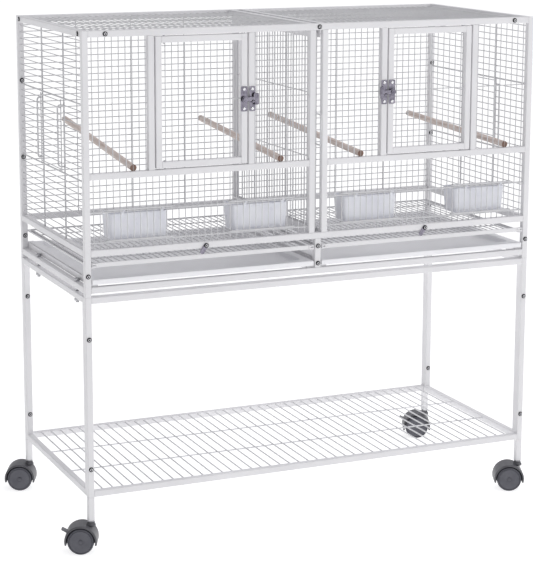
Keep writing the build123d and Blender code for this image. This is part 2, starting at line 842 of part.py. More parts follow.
# ---------------------------------------------------------------- perches
perch_r = 6.2
perch_end = 4.0  # past the mesh
notch_w = 2.6
notch_depth = 8.0
perch_seat_z = mid_rail_top + perch_r + 0.2


def perch(x, rows_down, drift):
    """Notched dowel: an upright wire sits in its front notch, a level one in its back notch."""
    back_z = cross_wire_z - rows_down * pitch
    front_end = Vector(x, mesh_y, perch_seat_z)
    back_end = Vector(x + drift, post_y, back_z)
    along = (back_end - front_end).normalized()
    start = front_end - along * perch_end
    length = (back_end - front_end).length + 2 * perch_end
    front_plane = Plane(origin=start, x_dir=(1, 0, 0), z_dir=along)
    with BuildPart() as dowel:
        with BuildSketch(front_plane):
            Circle(perch_r)
        extrude(amount=length)
        chamfer(dowel.edges(), 1.0)
        with BuildSketch(front_plane):
            Rectangle(notch_w, 3 * perch_r)
        extrude(amount=notch_depth, mode=Mode.SUBTRACT)
        with BuildSketch(front_plane.offset(length)):
            Rectangle(3 * perch_r, notch_w)
        extrude(amount=-notch_depth, mode=Mode.SUBTRACT)
    return dowel.part


perch_seats = [(-bay_x - 10.5 * pitch, 6, 0), (-bay_x + 12.5 * pitch, 7, 0)]
perch_seats += [(bay_x - 11.5 * pitch, 7, -10.0), (bay_x + 13.5 * pitch, 8, 0)]
keep("perches", *[perch(*seat) for seat in perch_seats])

# ---------------------------------------------------------------- grates and trays
base_bay_x0 = half + 2.5
base_bay_x1 = inner_x - 2.0
base_bay_x = (base_bay_x0 + base_bay_x1) / 2
grate_z = ledge_z + ledge_t + 2.0
grate_y0 = -202.0
grate_y1 = 186.0


def grate():
    """Slide-out wire floor of the right bay, with a flat front bar."""
    edge = (base_bay_x1 - base_bay_x0) / 2 - 3.5
    with BuildPart() as piece:
        wires_back(grate_y0, grate_y1, [base_bay_x + s * pitch for s in panel_steps], grate_z)
        for y in (-130.0, 0.0, 130.0):
            wires_across(base_bay_x - edge, base_bay_x + edge, y, [grate_z])
        wires_across(base_bay_x - edge, base_bay_x + edge, grate_y1, [grate_z], rod)
        for x in (base_bay_x - edge, base_bay_x + edge):
            wires_back(grate_y0, grate_y1 + rod, [x], grate_z, rod)
        with BuildSketch(facing_front(base_bay_x, grate_y0, grate_z + 2.5)):
            RectangleRounded(base_bay_x1 - base_bay_x0, 8.0, 2.0)
            with Locations((-edge - 0.5, 0), (edge + 0.5, 0)):
                SlotOverall(5.0, 2.4, mode=Mode.SUBTRACT)
        extrude(amount=3.0)
    return piece.part


sheet = 1.2  # steel sheet of the trays
rim_z = base_top + tube + 0.4
rim_w = 16.0
tray_y0 = -200.0
tray_y1 = 190.0
pan_z = base_top + 1.2
lip_y = -204.0
lip_h = 9.5


def tray():
    """Slide-out sheet tray of the right bay: rimmed pan with a turned-down front lip."""
    tray_w = base_bay_x1 - base_bay_x0
    tray_y = (tray_y0 + tray_y1) / 2
    tray_d = tray_y1 - tray_y0
    pan_w = tray_w - 2 * rim_w
    pan_d = tray_d - 2 * rim_w
    with BuildPart() as piece:
        with BuildSketch(Plane(origin=(base_bay_x, tray_y, rim_z))):
            RectangleRounded(tray_w, tray_d, 3.0)
        extrude(amount=sheet)
        with BuildSketch(Plane(origin=(base_bay_x, tray_y, pan_z))):
            RectangleRounded(pan_w, pan_d, 12.0)
        extrude(amount=rim_z - pan_z)
        with BuildSketch(Plane(origin=(base_bay_x, tray_y, pan_z + sheet))):
            RectangleRounded(pan_w - 2 * sheet, pan_d - 2 * sheet, 11.0)
        extrude(amount=rim_z, mode=Mode.SUBTRACT)
        with BuildSketch(Plane(origin=(base_bay_x, (lip_y + tray_y0) / 2 + 2.0, rim_z))):
            Rectangle(tray_w, tray_y0 - lip_y + 4.0)
        extrude(amount=sheet)
        with BuildSketch(Plane(origin=(base_bay_x, lip_y + sheet / 2, rim_z + sheet))):
            Rectangle(tray_w, sheet)
        extrude(amount=-lip_h)
    return piece.part


right_grate = grate()
keep("grate_right", right_grate)
keep("grate_left", mirrored(right_grate))
right_tray = tray()
keep("tray_right", right_tray)
keep("tray_left", mirrored(right_tray))

# ---------------------------------------------------------------- swing latches
swing_angle = 35.0  # at rest the strip hangs this far from plumb, clear of the grate
swing_length = 14.0


def swing_latch(x):
    """Small strip on a screw that swings down in front of the grate's bar."""
    pivot = Plane(origin=(x, front_y - 0.2, swing_latch_z), x_dir=(1, 0, 0), z_dir=(0, -1, 0))
    with BuildPart() as strip:
        with BuildSketch(pivot):
            middle = Vector(0, -swing_length / 2).rotate(Axis.Z, -swing_angle)
            with Locations(Location((middle.X, middle.Y, 0), (0, 0, -swing_angle))):
                SlotOverall(swing_length + 9.0, 9.0, rotation=90)
            Circle(screw_shank_r + running, mode=Mode.SUBTRACT)
        extrude(amount=swing_latch_t)
    return strip.part


keep("swing_latch_left", swing_latch(-swing_latch_x))
keep("swing_latch_right", swing_latch(swing_latch_x))
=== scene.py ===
"""Looks of the two-bay bird cage on its rolling stand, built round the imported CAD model.

Metres, +Z up, the front faces -Y. Most pieces are drawn in the cage's own frame, with its
middle at X = 0 and Y = 0, and placed() then moves them to where the CAD has the cage.
"""
import json
import math

import bmesh
import bpy
from mathutils import Matrix, Vector


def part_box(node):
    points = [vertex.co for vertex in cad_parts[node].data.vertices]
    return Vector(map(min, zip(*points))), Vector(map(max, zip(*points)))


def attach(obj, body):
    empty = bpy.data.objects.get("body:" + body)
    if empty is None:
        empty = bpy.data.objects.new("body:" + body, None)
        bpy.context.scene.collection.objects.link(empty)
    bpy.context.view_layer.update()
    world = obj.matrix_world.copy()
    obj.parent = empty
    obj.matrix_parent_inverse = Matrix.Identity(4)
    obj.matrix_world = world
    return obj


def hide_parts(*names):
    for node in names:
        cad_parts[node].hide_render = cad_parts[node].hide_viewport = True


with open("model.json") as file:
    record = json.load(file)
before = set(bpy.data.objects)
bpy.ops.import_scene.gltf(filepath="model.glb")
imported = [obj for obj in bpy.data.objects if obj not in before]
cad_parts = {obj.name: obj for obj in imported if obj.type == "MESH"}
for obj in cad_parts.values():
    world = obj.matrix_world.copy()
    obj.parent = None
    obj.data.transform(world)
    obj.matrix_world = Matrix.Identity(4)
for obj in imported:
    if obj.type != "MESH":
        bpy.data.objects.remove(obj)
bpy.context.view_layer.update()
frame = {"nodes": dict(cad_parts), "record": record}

# ---------------------------------------------------------------- sizes of the object
TUBE = 0.012  # square tube of the frames
WIRE = 0.001  # radius of a mesh wire
ROD = 0.0017  # radius of a thicker wire
PITCH = 0.0127  # mesh spacing
HALF_TUBE = TUBE / 2
SIDES = (-1, 1)
SIDE_WORDS = ((-1, "left"), (1, "right"))

posts_lo, posts_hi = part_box("cage_corner_posts")
cage_middle = (posts_lo + posts_hi) / 2
SHIFT = Vector((cage_middle.x, cage_middle.y, 0))
HALF_WIDTH = (posts_hi.x - posts_lo.x) / 2
HALF_DEPTH = (posts_hi.y - posts_lo.y) / 2
POST_X = HALF_WIDTH - HALF_TUBE
POST_Y = HALF_DEPTH - HALF_TUBE
INNER_X = HALF_WIDTH - TUBE
INNER_Y = HALF_DEPTH - TUBE
FRONT = -HALF_DEPTH
MESH_Y = -POST_Y
CAGE_TOP = posts_hi.z
CEILING = CAGE_TOP - TUBE
ROOF_Z = CAGE_TOP - HALF_TUBE
CAGE_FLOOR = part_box("cage_bottom_rails")[1].z
MID_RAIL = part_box("front_panel_tubes")[0].z + 0.128  # underside of the rail over the feeders
CROSS_Z = 0.834  # level wire through the middle of the doors
NEST_SILL = CROSS_Z - 11 * PITCH
NEST_YS = (-0.075, 0.058)
PANEL_X0 = 0.019  # outer face of a centre post
BAY_X = (PANEL_X0 + INNER_X) / 2
BAY_HALF = (INNER_X - PANEL_X0) / 2
DOOR_HALF = 0.090
DOOR_POST = DOOR_HALF + 0.0025 + TUBE  # outer face of a door post, from the bay's middle
FEEDER_SILL = 0.583
FEEDER_HEAD = 0.6385
FEEDER_STEPS = (4.5, 14.5)  # a feeder opening's edges, in mesh steps from the bay's middle
FEEDER_MIDDLES = {
    "outer_left": -BAY_X - 9.5 * PITCH,
    "inner_left": -BAY_X + 9.5 * PITCH,
    "inner_right": BAY_X - 9.5 * PITCH,
    "outer_right": BAY_X + 9.5 * PITCH,
}
STEPS = [side * (k + 0.5) for side in SIDES for k in range(17)]


# ---------------------------------------------------------------- camera, floor and light
CAMERA_AT = (-1.473, -3.349, 1.238)
CAMERA_YAW = 23.78
CAMERA_PITCH = -10.56
CAMERA_ROLL = 0.15
CAMERA_LENS = 118.9
CAMERA_SHIFT_Y = -0.1057


def make_camera():
    data = bpy.data.cameras.new("camera")
    camera = bpy.data.objects.new("camera", data)
    bpy.context.scene.collection.objects.link(camera)
    yaw, pitch, roll = (math.radians(a) for a in (CAMERA_YAW, CAMERA_PITCH, CAMERA_ROLL))
    forward = Vector((math.sin(yaw) * math.cos(pitch), math.cos(yaw) * math.cos(pitch), math.sin(pitch)))
    right = Vector((math.cos(yaw), -math.sin(yaw), 0))
    up = right.cross(forward)
    tilted_right = right * math.cos(roll) + up * math.sin(roll)
    tilted_up = up * math.cos(roll) - right * math.sin(roll)
    turn = Matrix((tilted_right, tilted_up, -forward)).transposed().to_4x4()
    camera.matrix_world = Matrix.Translation(CAMERA_AT) @ turn
    data.sensor_width = 36.0
    data.lens = CAMERA_LENS
    data.shift_y = CAMERA_SHIFT_Y
    data.clip_end = 100.0
    bpy.context.scene.camera = camera


def area_light(name, at, aim, size, power):
    data = bpy.data.lights.new(name, "AREA")
    data.shape = "RECTANGLE"
    data.size, data.size_y = size
    data.energy = power
    light = bpy.data.objects.new(name, data)
    light.location = at
    light.rotation_mode = "QUATERNION"
    light.rotation_quaternion = (Vector(aim) - Vector(at)).to_track_quat("-Z", "Y")
    bpy.context.scene.collection.objects.link(light)


def make_light():
    """Soft light from above, the front and the right; the left stays in open shade."""
    area_light("light_top", (1.0, 0.1, 3.2), (0.1, 0, 0.5), (2.4, 2.4), 19)
    area_light("light_front", (0.9, -3.6, 2.2), (0, 0, 0.6), (1.6, 1.2), 17)
    area_light("light_right", (3.0, -0.6, 1.3), (0, 0, 0.5), (1.2, 1.6), 11)
    world = bpy.data.worlds.new("studio")
    bpy.context.scene.world = world
    world.use_nodes = True
    nodes, links = world.node_tree.nodes, world.node_tree.links
    nodes.clear()
    out = nodes.new("ShaderNodeOutputWorld")
    background = nodes.new("ShaderNodeBackground")
    direction = nodes.new("ShaderNodeTexCoord")
    bright_side = nodes.new("ShaderNodeVectorMath")
    bright_side.operation = "DOT_PRODUCT"
    bright_side.inputs[1].default_value = (0.62, 0.45, 0.64)
    ramp = nodes.new("ShaderNodeValToRGB")
    ramp.color_ramp.elements[0].position = 0.0
    ramp.color_ramp.elements[0].color = (0.03, 0.03, 0.035, 1)
    ramp.color_ramp.elements[1].position = 0.75
    ramp.color_ramp.elements[1].color = (0.60, 0.60, 0.62, 1)
    scale = nodes.new("ShaderNodeMapRange")
    scale.inputs["From Min"].default_value = -1.0
    links.new(direction.outputs["Generated"], bright_side.inputs[0])
    links.new(bright_side.outputs["Value"], scale.inputs["Value"])
    links.new(scale.outputs["Result"], ramp.inputs["Fac"])
    links.new(ramp.outputs["Color"], background.inputs["Color"])
    links.new(background.outputs["Background"], out.inputs["Surface"])
    bpy.context.scene.view_settings.view_transform = "Standard"


def make_floor():
    mesh = bpy.data.meshes.new("floor")
    reach = 40.0
    corners = [(-reach, -reach, 0), (reach, -reach, 0), (reach, reach, 0), (-reach, reach, 0)]
    mesh.from_pydata(corners, [], [(0, 1, 2, 3)])
    floor = bpy.data.objects.new("floor", mesh)
    bpy.context.scene.collection.objects.link(floor)
    material = bpy.data.materials.new("floor_paper")
    material.use_nodes = True
    shader = material.node_tree.nodes["Principled BSDF"]
    shader.inputs["Base Color"].default_value = (0.6, 0.6, 0.6, 1)
    shader.inputs["Roughness"].default_value = 0.9
    shader.inputs["Emission Color"].default_value = (1, 1, 1, 1)
    shader.inputs["Emission Strength"].default_value = 0.74
    mesh.materials.append(material)


make_camera()
make_light()
make_floor()


# ---------------------------------------------------------------- materials
def shader_of(name, color, roughness, metallic=0.0):
    """A material with its Principled shader, ready for the node work of its surface."""
    material = bpy.data.materials.new(name)
    material.use_nodes = True
    shader = material.node_tree.nodes["Principled BSDF"]
    shader.inputs["Base Color"].default_value = (*color, 1)
    shader.inputs["Roughness"].default_value = roughness
    shader.inputs["Metallic"].default_value = metallic
    return material, shader


def noise(material, scale, detail=3.0, stretch=(1, 1, 1)):
    """Noise in object space; scale is in features per metre."""
    nodes, links = material.node_tree.nodes, material.node_tree.links
    place = nodes.new("ShaderNodeTexCoord")
    mapping = nodes.new("ShaderNodeMapping")
    mapping.inputs["Scale"].default_value = stretch
    texture = nodes.new("ShaderNodeTexNoise")
    texture.inputs["Scale"].default_value = scale
    texture.inputs["Detail"].default_value = detail
    links.new(place.outputs["Object"], mapping.inputs["Vector"])
    links.new(mapping.outputs["Vector"], texture.inputs["Vector"])
    return texture.outputs["Fac"]


def ramp(material, shader, socket, value, stops):
    """Set one input of the shader from a value; stops are (position, colour)."""
    node = material.node_tree.nodes.new("ShaderNodeValToRGB")
    elements = node.color_ramp.elements
    while len(elements) < len(stops):
        elements.new(0.5)
    for element, (position, color) in zip(elements, stops):
        element.position = position
        element.color = (*color, 1)
    material.node_tree.links.new(value, node.inputs["Fac"])
    material.node_tree.links.new(node.outputs["Color"], shader.inputs[socket])


def bump(material, shader, height, distance, strength):
    node = material.node_tree.nodes.new("ShaderNodeBump")
    node.inputs["Distance"].default_value = distance
    node.inputs["Strength"].default_value = strength
    material.node_tree.links.new(height, node.inputs["Height"])
    material.node_tree.links.new(node.outputs["Normal"], shader.inputs["Normal"])


def between(low, high):
    """Stops from one colour to another."""
    return [(0.3, low), (0.7, high)]


def grey(low, high):
    return between((low,) * 3, (high,) * 3)


def powder_coat(name, low, high):
    """Baked powder coat: soft sheen, faint orange peel, slightly uneven white."""
    material, shader = shader_of(name, high, 0.42)
    cloud = noise(material, 9.0)
    ramp(material, shader, "Base Color", cloud, between(low, high))
    grain = noise(material, 520.0, 2.0)
    ramp(material, shader, "Roughness", grain, grey(0.36, 0.5))
    bump(material, shader, grain, 0.00012, 0.35)
    shader.inputs["Coat Weight"].default_value = 0.15
    shader.inputs["Coat Roughness"].default_value = 0.3
    return material


def plated_metal(name, low, high, rough_low, rough_high, scratch):
    """Plated steel: fine directional scratches and a slightly cloudy shine."""
    material, shader = shader_of(name, high, rough_low, 1.0)
    cloud = noise(material, 140.0)
    ramp(material, shader, "Base Color", cloud, between(low, high))
    lines = noise(material, 260.0, 4.0, (1, 1, 14))
    ramp(material, shader, "Roughness", lines, grey(rough_low, rough_high))
    bump(material, shader, lines, scratch, 0.3)
    return material


def moulded_plastic(name, low, high, rough_low, rough_high):
    """Moulded nylon: fine spark texture, with dust dulling it in patches."""
    material, shader = shader_of(name, high, rough_low)
    dust = noise(material, 60.0, 5.0)
    ramp(material, shader, "Base Color", dust, [(0.35, low), (0.75, high)])
    ramp(material, shader, "Roughness", dust, grey(rough_low, rough_high))
    bump(material, shader, noise(material, 1400.0, 2.0), 0.00008, 0.4)
    return material


def cup_plastic():
    """Milky translucent plastic."""
    material, shader = shader_of("cup_plastic", (0.86, 0.87, 0.91), 0.3)
    cloud = noise(material, 35.0, 4.0)
    ramp(material, shader, "Base Color", cloud, between((0.80, 0.81, 0.87), (0.88, 0.89, 0.93)))
    ramp(material, shader, "Roughness", cloud, grey(0.25, 0.38))
    bump(material, shader, noise(material, 700.0), 0.00005, 0.3)
    shader.inputs["Subsurface Weight"].default_value = 0.5
    shader.inputs["Subsurface Radius"].default_value = (0.004, 0.004, 0.004)
    return material


def perch_wood():
    """Sanded softwood: long grain along the perch, with fine pores."""
    material, shader = shader_of("perch_wood", (0.62, 0.53, 0.49), 0.62)
    grain = noise(material, 240.0, 5.0, (1, 0.035, 1))
    tones = [(0.25, (0.58, 0.46, 0.41)), (0.5, (0.74, 0.64, 0.59)), (0.8, (0.83, 0.75, 0.71))]
    ramp(material, shader, "Base Color", grain, tones)
    ramp(material, shader, "Roughness", grain, grey(0.72, 0.55))
    bump(material, shader, grain, 0.0004, 0.5)
    return material


def end_grain():
    """Dark sawn end of a perch."""
    material, shader = shader_of("perch_end_grain", (0.2, 0.12, 0.09), 0.8)
    pores = noise(material, 900.0, 4.0)
    ramp(material, shader, "Base Color", pores, between((0.13, 0.075, 0.06), (0.30, 0.19, 0.15)))
    bump(material, shader, pores, 0.0003, 0.6)
    return material


COAT = "white_powder_coat"
MATERIALS = {
    COAT: powder_coat(COAT, (0.79, 0.785, 0.80), (0.85, 0.845, 0.86)),
    # The trays' faint lavender tint is their own colour; their extra lightness over the frame's coat is
    # painted light, standing in for light in the shade under the grate.
    "tray_steel": powder_coat("tray_steel", (0.90, 0.90, 0.92), (0.94, 0.94, 0.96)),
    "shelf_wire": powder_coat("shelf_wire", (0.70, 0.70, 0.72), (0.78, 0.78, 0.80)),
    "cup_plastic": cup_plastic(),
    "perch_wood": perch_wood(),
}
for name, low, high, roughness, scratch in (
    ("chrome_plate", (0.16, 0.15, 0.19), (0.36, 0.34, 0.40), (0.14, 0.30), 0.00005),
    ("zinc_steel", (0.34, 0.34, 0.36), (0.55, 0.55, 0.57), (0.28, 0.5), 0.00008),
):
    MATERIALS[name] = plated_metal(name, low, high, *roughness, scratch)
for name, low, high, roughness in (
    ("caster_plastic", (0.085, 0.085, 0.096), (0.125, 0.125, 0.136), (0.32, 0.48)),
    ("caster_wheel", (0.088, 0.089, 0.108), (0.128, 0.129, 0.148), (0.42, 0.6)),
):
    MATERIALS[name] = moulded_plastic(name, low, high, *roughness)
END_GRAIN = end_grain()
# The mesh wires have the frame's white coat; this darker grey copy is painted shade, standing in for the
# shading on the thin backlit wires.
SHADED_MESH_COAT = powder_coat("mesh_coat_painted_shade", (0.60, 0.60, 0.615), (0.68, 0.68, 0.695))
PEDAL = moulded_plastic("brake_pedal", (0.20, 0.20, 0.215), (0.27, 0.27, 0.285), 0.4, 0.55)
# Near-black steel for the outer rims of the screw heads: painted shade on the rounded slope of a button
# head.
SHADED_STEEL = plated_metal("steel_painted_shade", (0.02, 0.02, 0.022), (0.05, 0.05, 0.055), 0.4, 0.6, 0.00005)
# Near-white steel for the middles of screw heads: a painted highlight.
HIGHLIT_STEEL = plated_metal("steel_painted_highlight", (0.78, 0.78, 0.80), (0.92, 0.92, 0.94), 0.16, 0.3, 0.00004)

for part in frame["record"]["subparts"]:
    data = frame["nodes"][part["node"]].data
    data.materials.clear()
    data.materials.append(MATERIALS[part["material_slot"]])


# ---------------------------------------------------------------- mesh helpers
def piece(name, shape, body, slot, *nodes, finish=None):
    """Turn a finished bmesh into a piece that rides on a body and stands for CAD nodes."""
    mesh = bpy.data.meshes.new(name)
    bmesh.ops.recalc_face_normals(shape, faces=shape.faces)
    shape.to_mesh(mesh)
    shape.free()
    mesh.polygons.foreach_set("use_smooth", [True] * len(mesh.polygons))
    mesh.materials.append(finish or MATERIALS[slot])
    made = bpy.data.objects.new(name, mesh)
    bpy.context.scene.collection.objects.link(made)
    normals = made.modifiers.new("flat_faces_stay_flat", "WEIGHTED_NORMAL")
    normals.weight = 90
    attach(made, body)
    if nodes:
        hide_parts(*nodes)


def placed(shape):
    """Move a shape drawn in the cage's frame to where the cage stands."""
    bmesh.ops.translate(shape, vec=SHIFT, verts=shape.verts)
    return shape


def rings(shape, loops, closed=False):
    """Skin a row of vertex loops, each a list of points, all of one length."""
    made = [[shape.verts.new(point) for point in loop] for loop in loops]
    count = len(made[0])
    pairs = list(zip(made, made[1:])) + ([(made[-1], made[0])] if closed else [])
    for low, high in pairs:
        for k in range(count):
            n = (k + 1) % count
            shape.faces.new((low[k], low[n], high[n], high[k]))
    if not closed:
        shape.faces.new(made[0][::-1])
        shape.faces.new(made[-1])


def wire(shape, points, radius, sides=8, closed=False):
    """Round wire along a row of points, with slightly rounded ends."""
    points = [Vector(point) for point in points]
    count = len(points)
    tangents = []
    for k in range(count):
        if closed:
            step = points[(k + 1) % count] - points[k - 1]
        else:
            step = points[min(k + 1, count - 1)] - points[max(k - 1, 0)]
        tangents.append(step.normalized())
    across = tangents[0].orthogonal().normalized()
    loops = []
    for point, tangent in zip(points, tangents):
        across = (across - tangent * across.dot(tangent)).normalized()
        other = tangent.cross(across)
        loops.append([
            point + (across * math.cos(a) + other * math.sin(a)) * radius
            for a in (2 * math.pi * k / sides for k in range(sides))
        ])
    if not closed:
        ends = ((0, points[0], tangents[0]), (-1, points[-1], -tangents[-1]))
        for index, point, inward in ends:
            loop = loops[index]
            tip = [point + (corner - point) * 0.6 for corner in loop]
            loops[index] = [corner + inward * radius * 0.4 for corner in loop]
            loops.insert(0 if index == 0 else len(loops), tip)
    rings(shape, loops, closed)


def bent(corners, radius, closed=False):
    """Points of a path through corners, each rounded to an arc."""
    corners = [Vector(corner) for corner in corners]
    count = len(corners)
    steps = 5
    path = []
    for k, corner in enumerate(corners):
        if not closed and k in (0, count - 1):
            path.append(corner)
            continue
        before = (corners[k - 1] - corner).normalized()
        after = (corners[(k + 1) % count] - corner).normalized()
        half_angle = before.angle(after) / 2
        reach = radius / math.tan(half_angle)
        start, end = corner + before * reach, corner + after * reach
        centre = corner + (before + after).normalized() * radius / math.sin(half_angle)
        for step in range(steps + 1):
            chord = start.lerp(end, step / steps) - centre
            path.append(centre + chord.normalized() * radius)
    return path


def bar(shape, lo, hi, corner=0.0014, arc_steps=3):
    """Bar or closed tube filling a box, its long edges rounded."""
    lo, hi = Vector(lo), Vector(hi)
    size = hi - lo
    along = max(range(3), key=lambda k: size[k])
    u, v = [k for k in range(3) if k != along]
    corner = min(corner, size[u] * 0.45, size[v] * 0.45)
    outline = []
    for quarter, (su, sv) in enumerate(((1, 1), (-1, 1), (-1, -1), (1, -1))):
        for step in range(arc_steps + 1):
            angle = math.pi / 2 * (quarter + step / arc_steps)
            centre_u = (hi[u] - corner) if su > 0 else (lo[u] + corner)
            centre_v = (hi[v] - corner) if sv > 0 else (lo[v] + corner)
            outline.append((centre_u + corner * math.cos(angle), centre_v + corner * math.sin(angle)))
    middle_u, middle_v = (lo[u] + hi[u]) / 2, (lo[v] + hi[v]) / 2
    inset = corner * 0.35
    loops = []
    for height, shrink in (
        (lo[along], inset), (lo[along] + inset, 0), (hi[along] - inset, 0), (hi[along], inset)
    ):
        loop = []
        for pu, pv in outline:
            point = Vector((0, 0, 0))
            point[along] = height
            point[u] = middle_u + (pu - middle_u) * (1 - shrink / (size[u] / 2))
            point[v] = middle_v + (pv - middle_v) * (1 - shrink / (size[v] / 2))
            loop.append(point)
        loops.append(loop)
    rings(shape, loops)


def solids_of(node):
    """Boxes of the separate solids in a CAD node, as (lowest, highest) corners."""
    shape = bmesh.new()
    shape.from_mesh(frame["nodes"][node].data)
    bmesh.ops.remove_doubles(shape, verts=shape.verts, dist=1e-6)
    boxes = []
    seen = set()
    for start in shape.verts:
        if start in seen:
            continue
        seen.add(start)
        group, queue = [], [start]
        while queue:
            vert = queue.pop()
            group.append(vert.co.copy())
            for edge in vert.link_edges:
                other = edge.other_vert(vert)
                if other not in seen:
                    seen.add(other)
                    queue.append(other)
        boxes.append(tuple(Vector(f(p[k] for p in group) for k in range(3)) for f in (min, max)))
    shape.free()
    return boxes


def lathe(shape, profile, matrix, steps):
    """Turn (radius, height) points about the matrix's Z axis; ends close on the axis."""
    loops = []
    for radius, height in profile:
        loops.append([
            matrix @ Vector((radius * math.cos(a), radius * math.sin(a), height))
            for a in (2 * math.pi * k / steps for k in range(steps))
        ])
    rings(shape, loops)


def plate(shape, outline, matrix, thickness, edge):
    """Flat plate from an outline in the matrix's XY plane, with softened edges."""
    middle = sum((Vector(p) for p in outline), Vector((0, 0))) / len(outline)
    loops = []
    for height, shrink in ((0, edge), (edge, 0), (thickness - edge, 0), (thickness, edge)):
        loop = []
        for point in outline:
            arm = Vector(point) - middle
            arm = arm * (1 - shrink / max(arm.length, 1e-6))
            loop.append(matrix @ Vector((middle.x + arm.x, middle.y + arm.y, height)))
        loops.append(loop)
    rings(shape, loops)


def rounded_rectangle(width, height, radius, steps=4, middle=(0, 0)):
    points = []
    for quarter, (sx, sy) in enumerate(((1, 1), (-1, 1), (-1, -1), (1, -1))):
        for step in range(steps + 1):
            angle = math.pi / 2 * (quarter + step / steps)
            x = middle[0] + sx * (width / 2 - radius) + radius * math.cos(angle)
            y = middle[1] + sy * (height / 2 - radius) + radius * math.sin(angle)
            points.append((x, y))
    return points


def strip(shape, path, x0, x1, thickness):
    """Bent flat strip: a path of (y, z) points, as wide as from x0 to x1."""
    path = [Vector(point) for point in path]
    loops = []
    for k, point in enumerate(path):
        along = (path[min(k + 1, len(path) - 1)] - path[max(k - 1, 0)]).normalized()
        out = Vector((along.y, -along.x)) * thickness / 2
        one, other = point + out, point - out
        loops.append([(x0, *one), (x1, *one), (x1, *other), (x0, *other)])
    rings(shape, loops)


def flat_arc(middle, radius, start, end, steps):
    """Points of an arc in a plane; angles in degrees."""
    angles = [math.radians(start + (end - start) * k / steps) for k in range(steps + 1)]
    return [(middle[0] + radius * math.cos(a), middle[1] + radius * math.sin(a)) for a in angles]


def slot_outline(start, end, radius):
    """Round-ended slot between two centres."""
    start, end = Vector(start), Vector(end)
    turn = math.degrees(math.atan2(end.y - start.y, end.x - start.x))
    return (flat_arc(end, radius, turn - 90, turn + 90, 8)
            + flat_arc(start, radius, turn + 90, turn + 270, 8))


def facing(origin, normal, x_dir=(1, 0, 0)):
    """Matrix whose Z axis leaves a face along its normal."""
    z = Vector(normal).normalized()
    x = Vector(x_dir)
    x = (x - z * x.dot(z)).normalized()
    turn = Matrix((x, z.cross(x), z)).transposed().to_4x4()
    return Matrix.Translation(origin) @ turn


# ---------------------------------------------------------------- frames
LEG_DEPTH = 0.020


def rails(z0, side_gap=TUBE, deep=TUBE):
    """Four rails between the corner posts; deep is the front and back ones' depth."""
    shape = bmesh.new()
    for side in SIDES:
        y0, y1 = sorted((side * HALF_DEPTH, side * (HALF_DEPTH - deep)))
        bar(shape, (-INNER_X, y0, z0), (INNER_X, y1, z0 + TUBE))
        x0, x1 = sorted((side * HALF_WIDTH, side * INNER_X))
        reach = HALF_DEPTH - side_gap
        bar(shape, (x0, -reach, z0), (x1, reach, z0 + TUBE))
    return shape


def make_frames():
    """Rounded square tubes and strips where the CAD has its sharp-edged ones."""
    for node in ("cage_corner_posts", "caster_posts", "stand_legs", "cage_center_tubes",
                 "front_panel_tubes"):
        shape = bmesh.new()
        for lo, hi in solids_of(node):
            bar(shape, lo, hi)
        piece(f"{node}_tubes", shape, "cage", COAT, node)
    heights = {node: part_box(node)[0].z for node in
               ("cage_top_rails", "cage_bottom_rails", "shelf_rails", "stand_top_rails", "base_frame")}
    for node in ("cage_top_rails", "cage_bottom_rails"):
        piece(f"{node}_tubes", placed(rails(heights[node])), "cage", COAT, node)
    shelf = rails(heights["shelf_rails"], LEG_DEPTH)
    piece("shelf_rails_tubes", placed(shelf), "cage", COAT, "shelf_rails")
    stand_top = rails(heights["stand_top_rails"], LEG_DEPTH, LEG_DEPTH)
    piece("stand_top_rails_tubes", placed(stand_top), "cage", COAT, "stand_top_rails")
    base_z = heights["base_frame"]
    base = rails(base_z)
    bar(base, (-HALF_TUBE, -INNER_Y, base_z), (HALF_TUBE, INNER_Y, base_z + TUBE))
    for side in SIDES:
        y0, y1 = sorted((side * HALF_DEPTH, side * INNER_Y))
        bar(base, (-HALF_TUBE, y0, base_z + TUBE), (HALF_TUBE, y1, CAGE_FLOOR - TUBE))
    piece("base_frame_tubes", placed(base), "cage", COAT, "base_frame")
    for node in ("base_runners", "divider_guides"):
        shape = bmesh.new()
        for lo, hi in solids_of(node):
            bar(shape, lo, hi, 0.0004, 2)
        piece(f"{node}_strips", shape, "cage", COAT, node)


# ---------------------------------------------------------------- mesh panels
UPRIGHT_OUT = 0.0005  # wires cross by sinking into each other at the welds
CROSS_IN = 0.0007


def upright(shape, x, y, z0, z1, radius=WIRE):
    wire(shape, [(x, y, z0), (x, y, z1)], radius)


def level(shape, x0, x1, y, z, radius=WIRE):
    wire(shape, [(x0, y, z), (x1, y, z)], radius)


def front_mesh(side):
    """Front mesh of one bay, open at the door and at the two feeder openings."""
    shape = bmesh.new()
    middle = side * BAY_X
    y_up, y_across = MESH_Y - UPRIGHT_OUT, MESH_Y + CROSS_IN
    mid_rail_top = MID_RAIL + TUBE
    for step in STEPS:
        x = middle + step * PITCH
        in_feeder = FEEDER_STEPS[0] < abs(step) < FEEDER_STEPS[1]
        if in_feeder:
            upright(shape, x, y_up, CAGE_FLOOR, FEEDER_SILL)
            upright(shape, x, y_up, FEEDER_HEAD, MID_RAIL)
        else:
            upright(shape, x, y_up, CAGE_FLOOR, MID_RAIL)
        if abs(step) * PITCH > DOOR_POST:
            upright(shape, x, y_up, mid_rail_top, CEILING)
    for z in (FEEDER_SILL, FEEDER_HEAD):
        level(shape, middle - BAY_HALF, middle + BAY_HALF, MESH_Y, z, ROD)
    for edge in SIDES:
        x0, x1 = sorted((middle + edge * DOOR_POST, middle + edge * BAY_HALF))
        level(shape, x0, x1, y_across, CROSS_Z)
    return placed(shape)


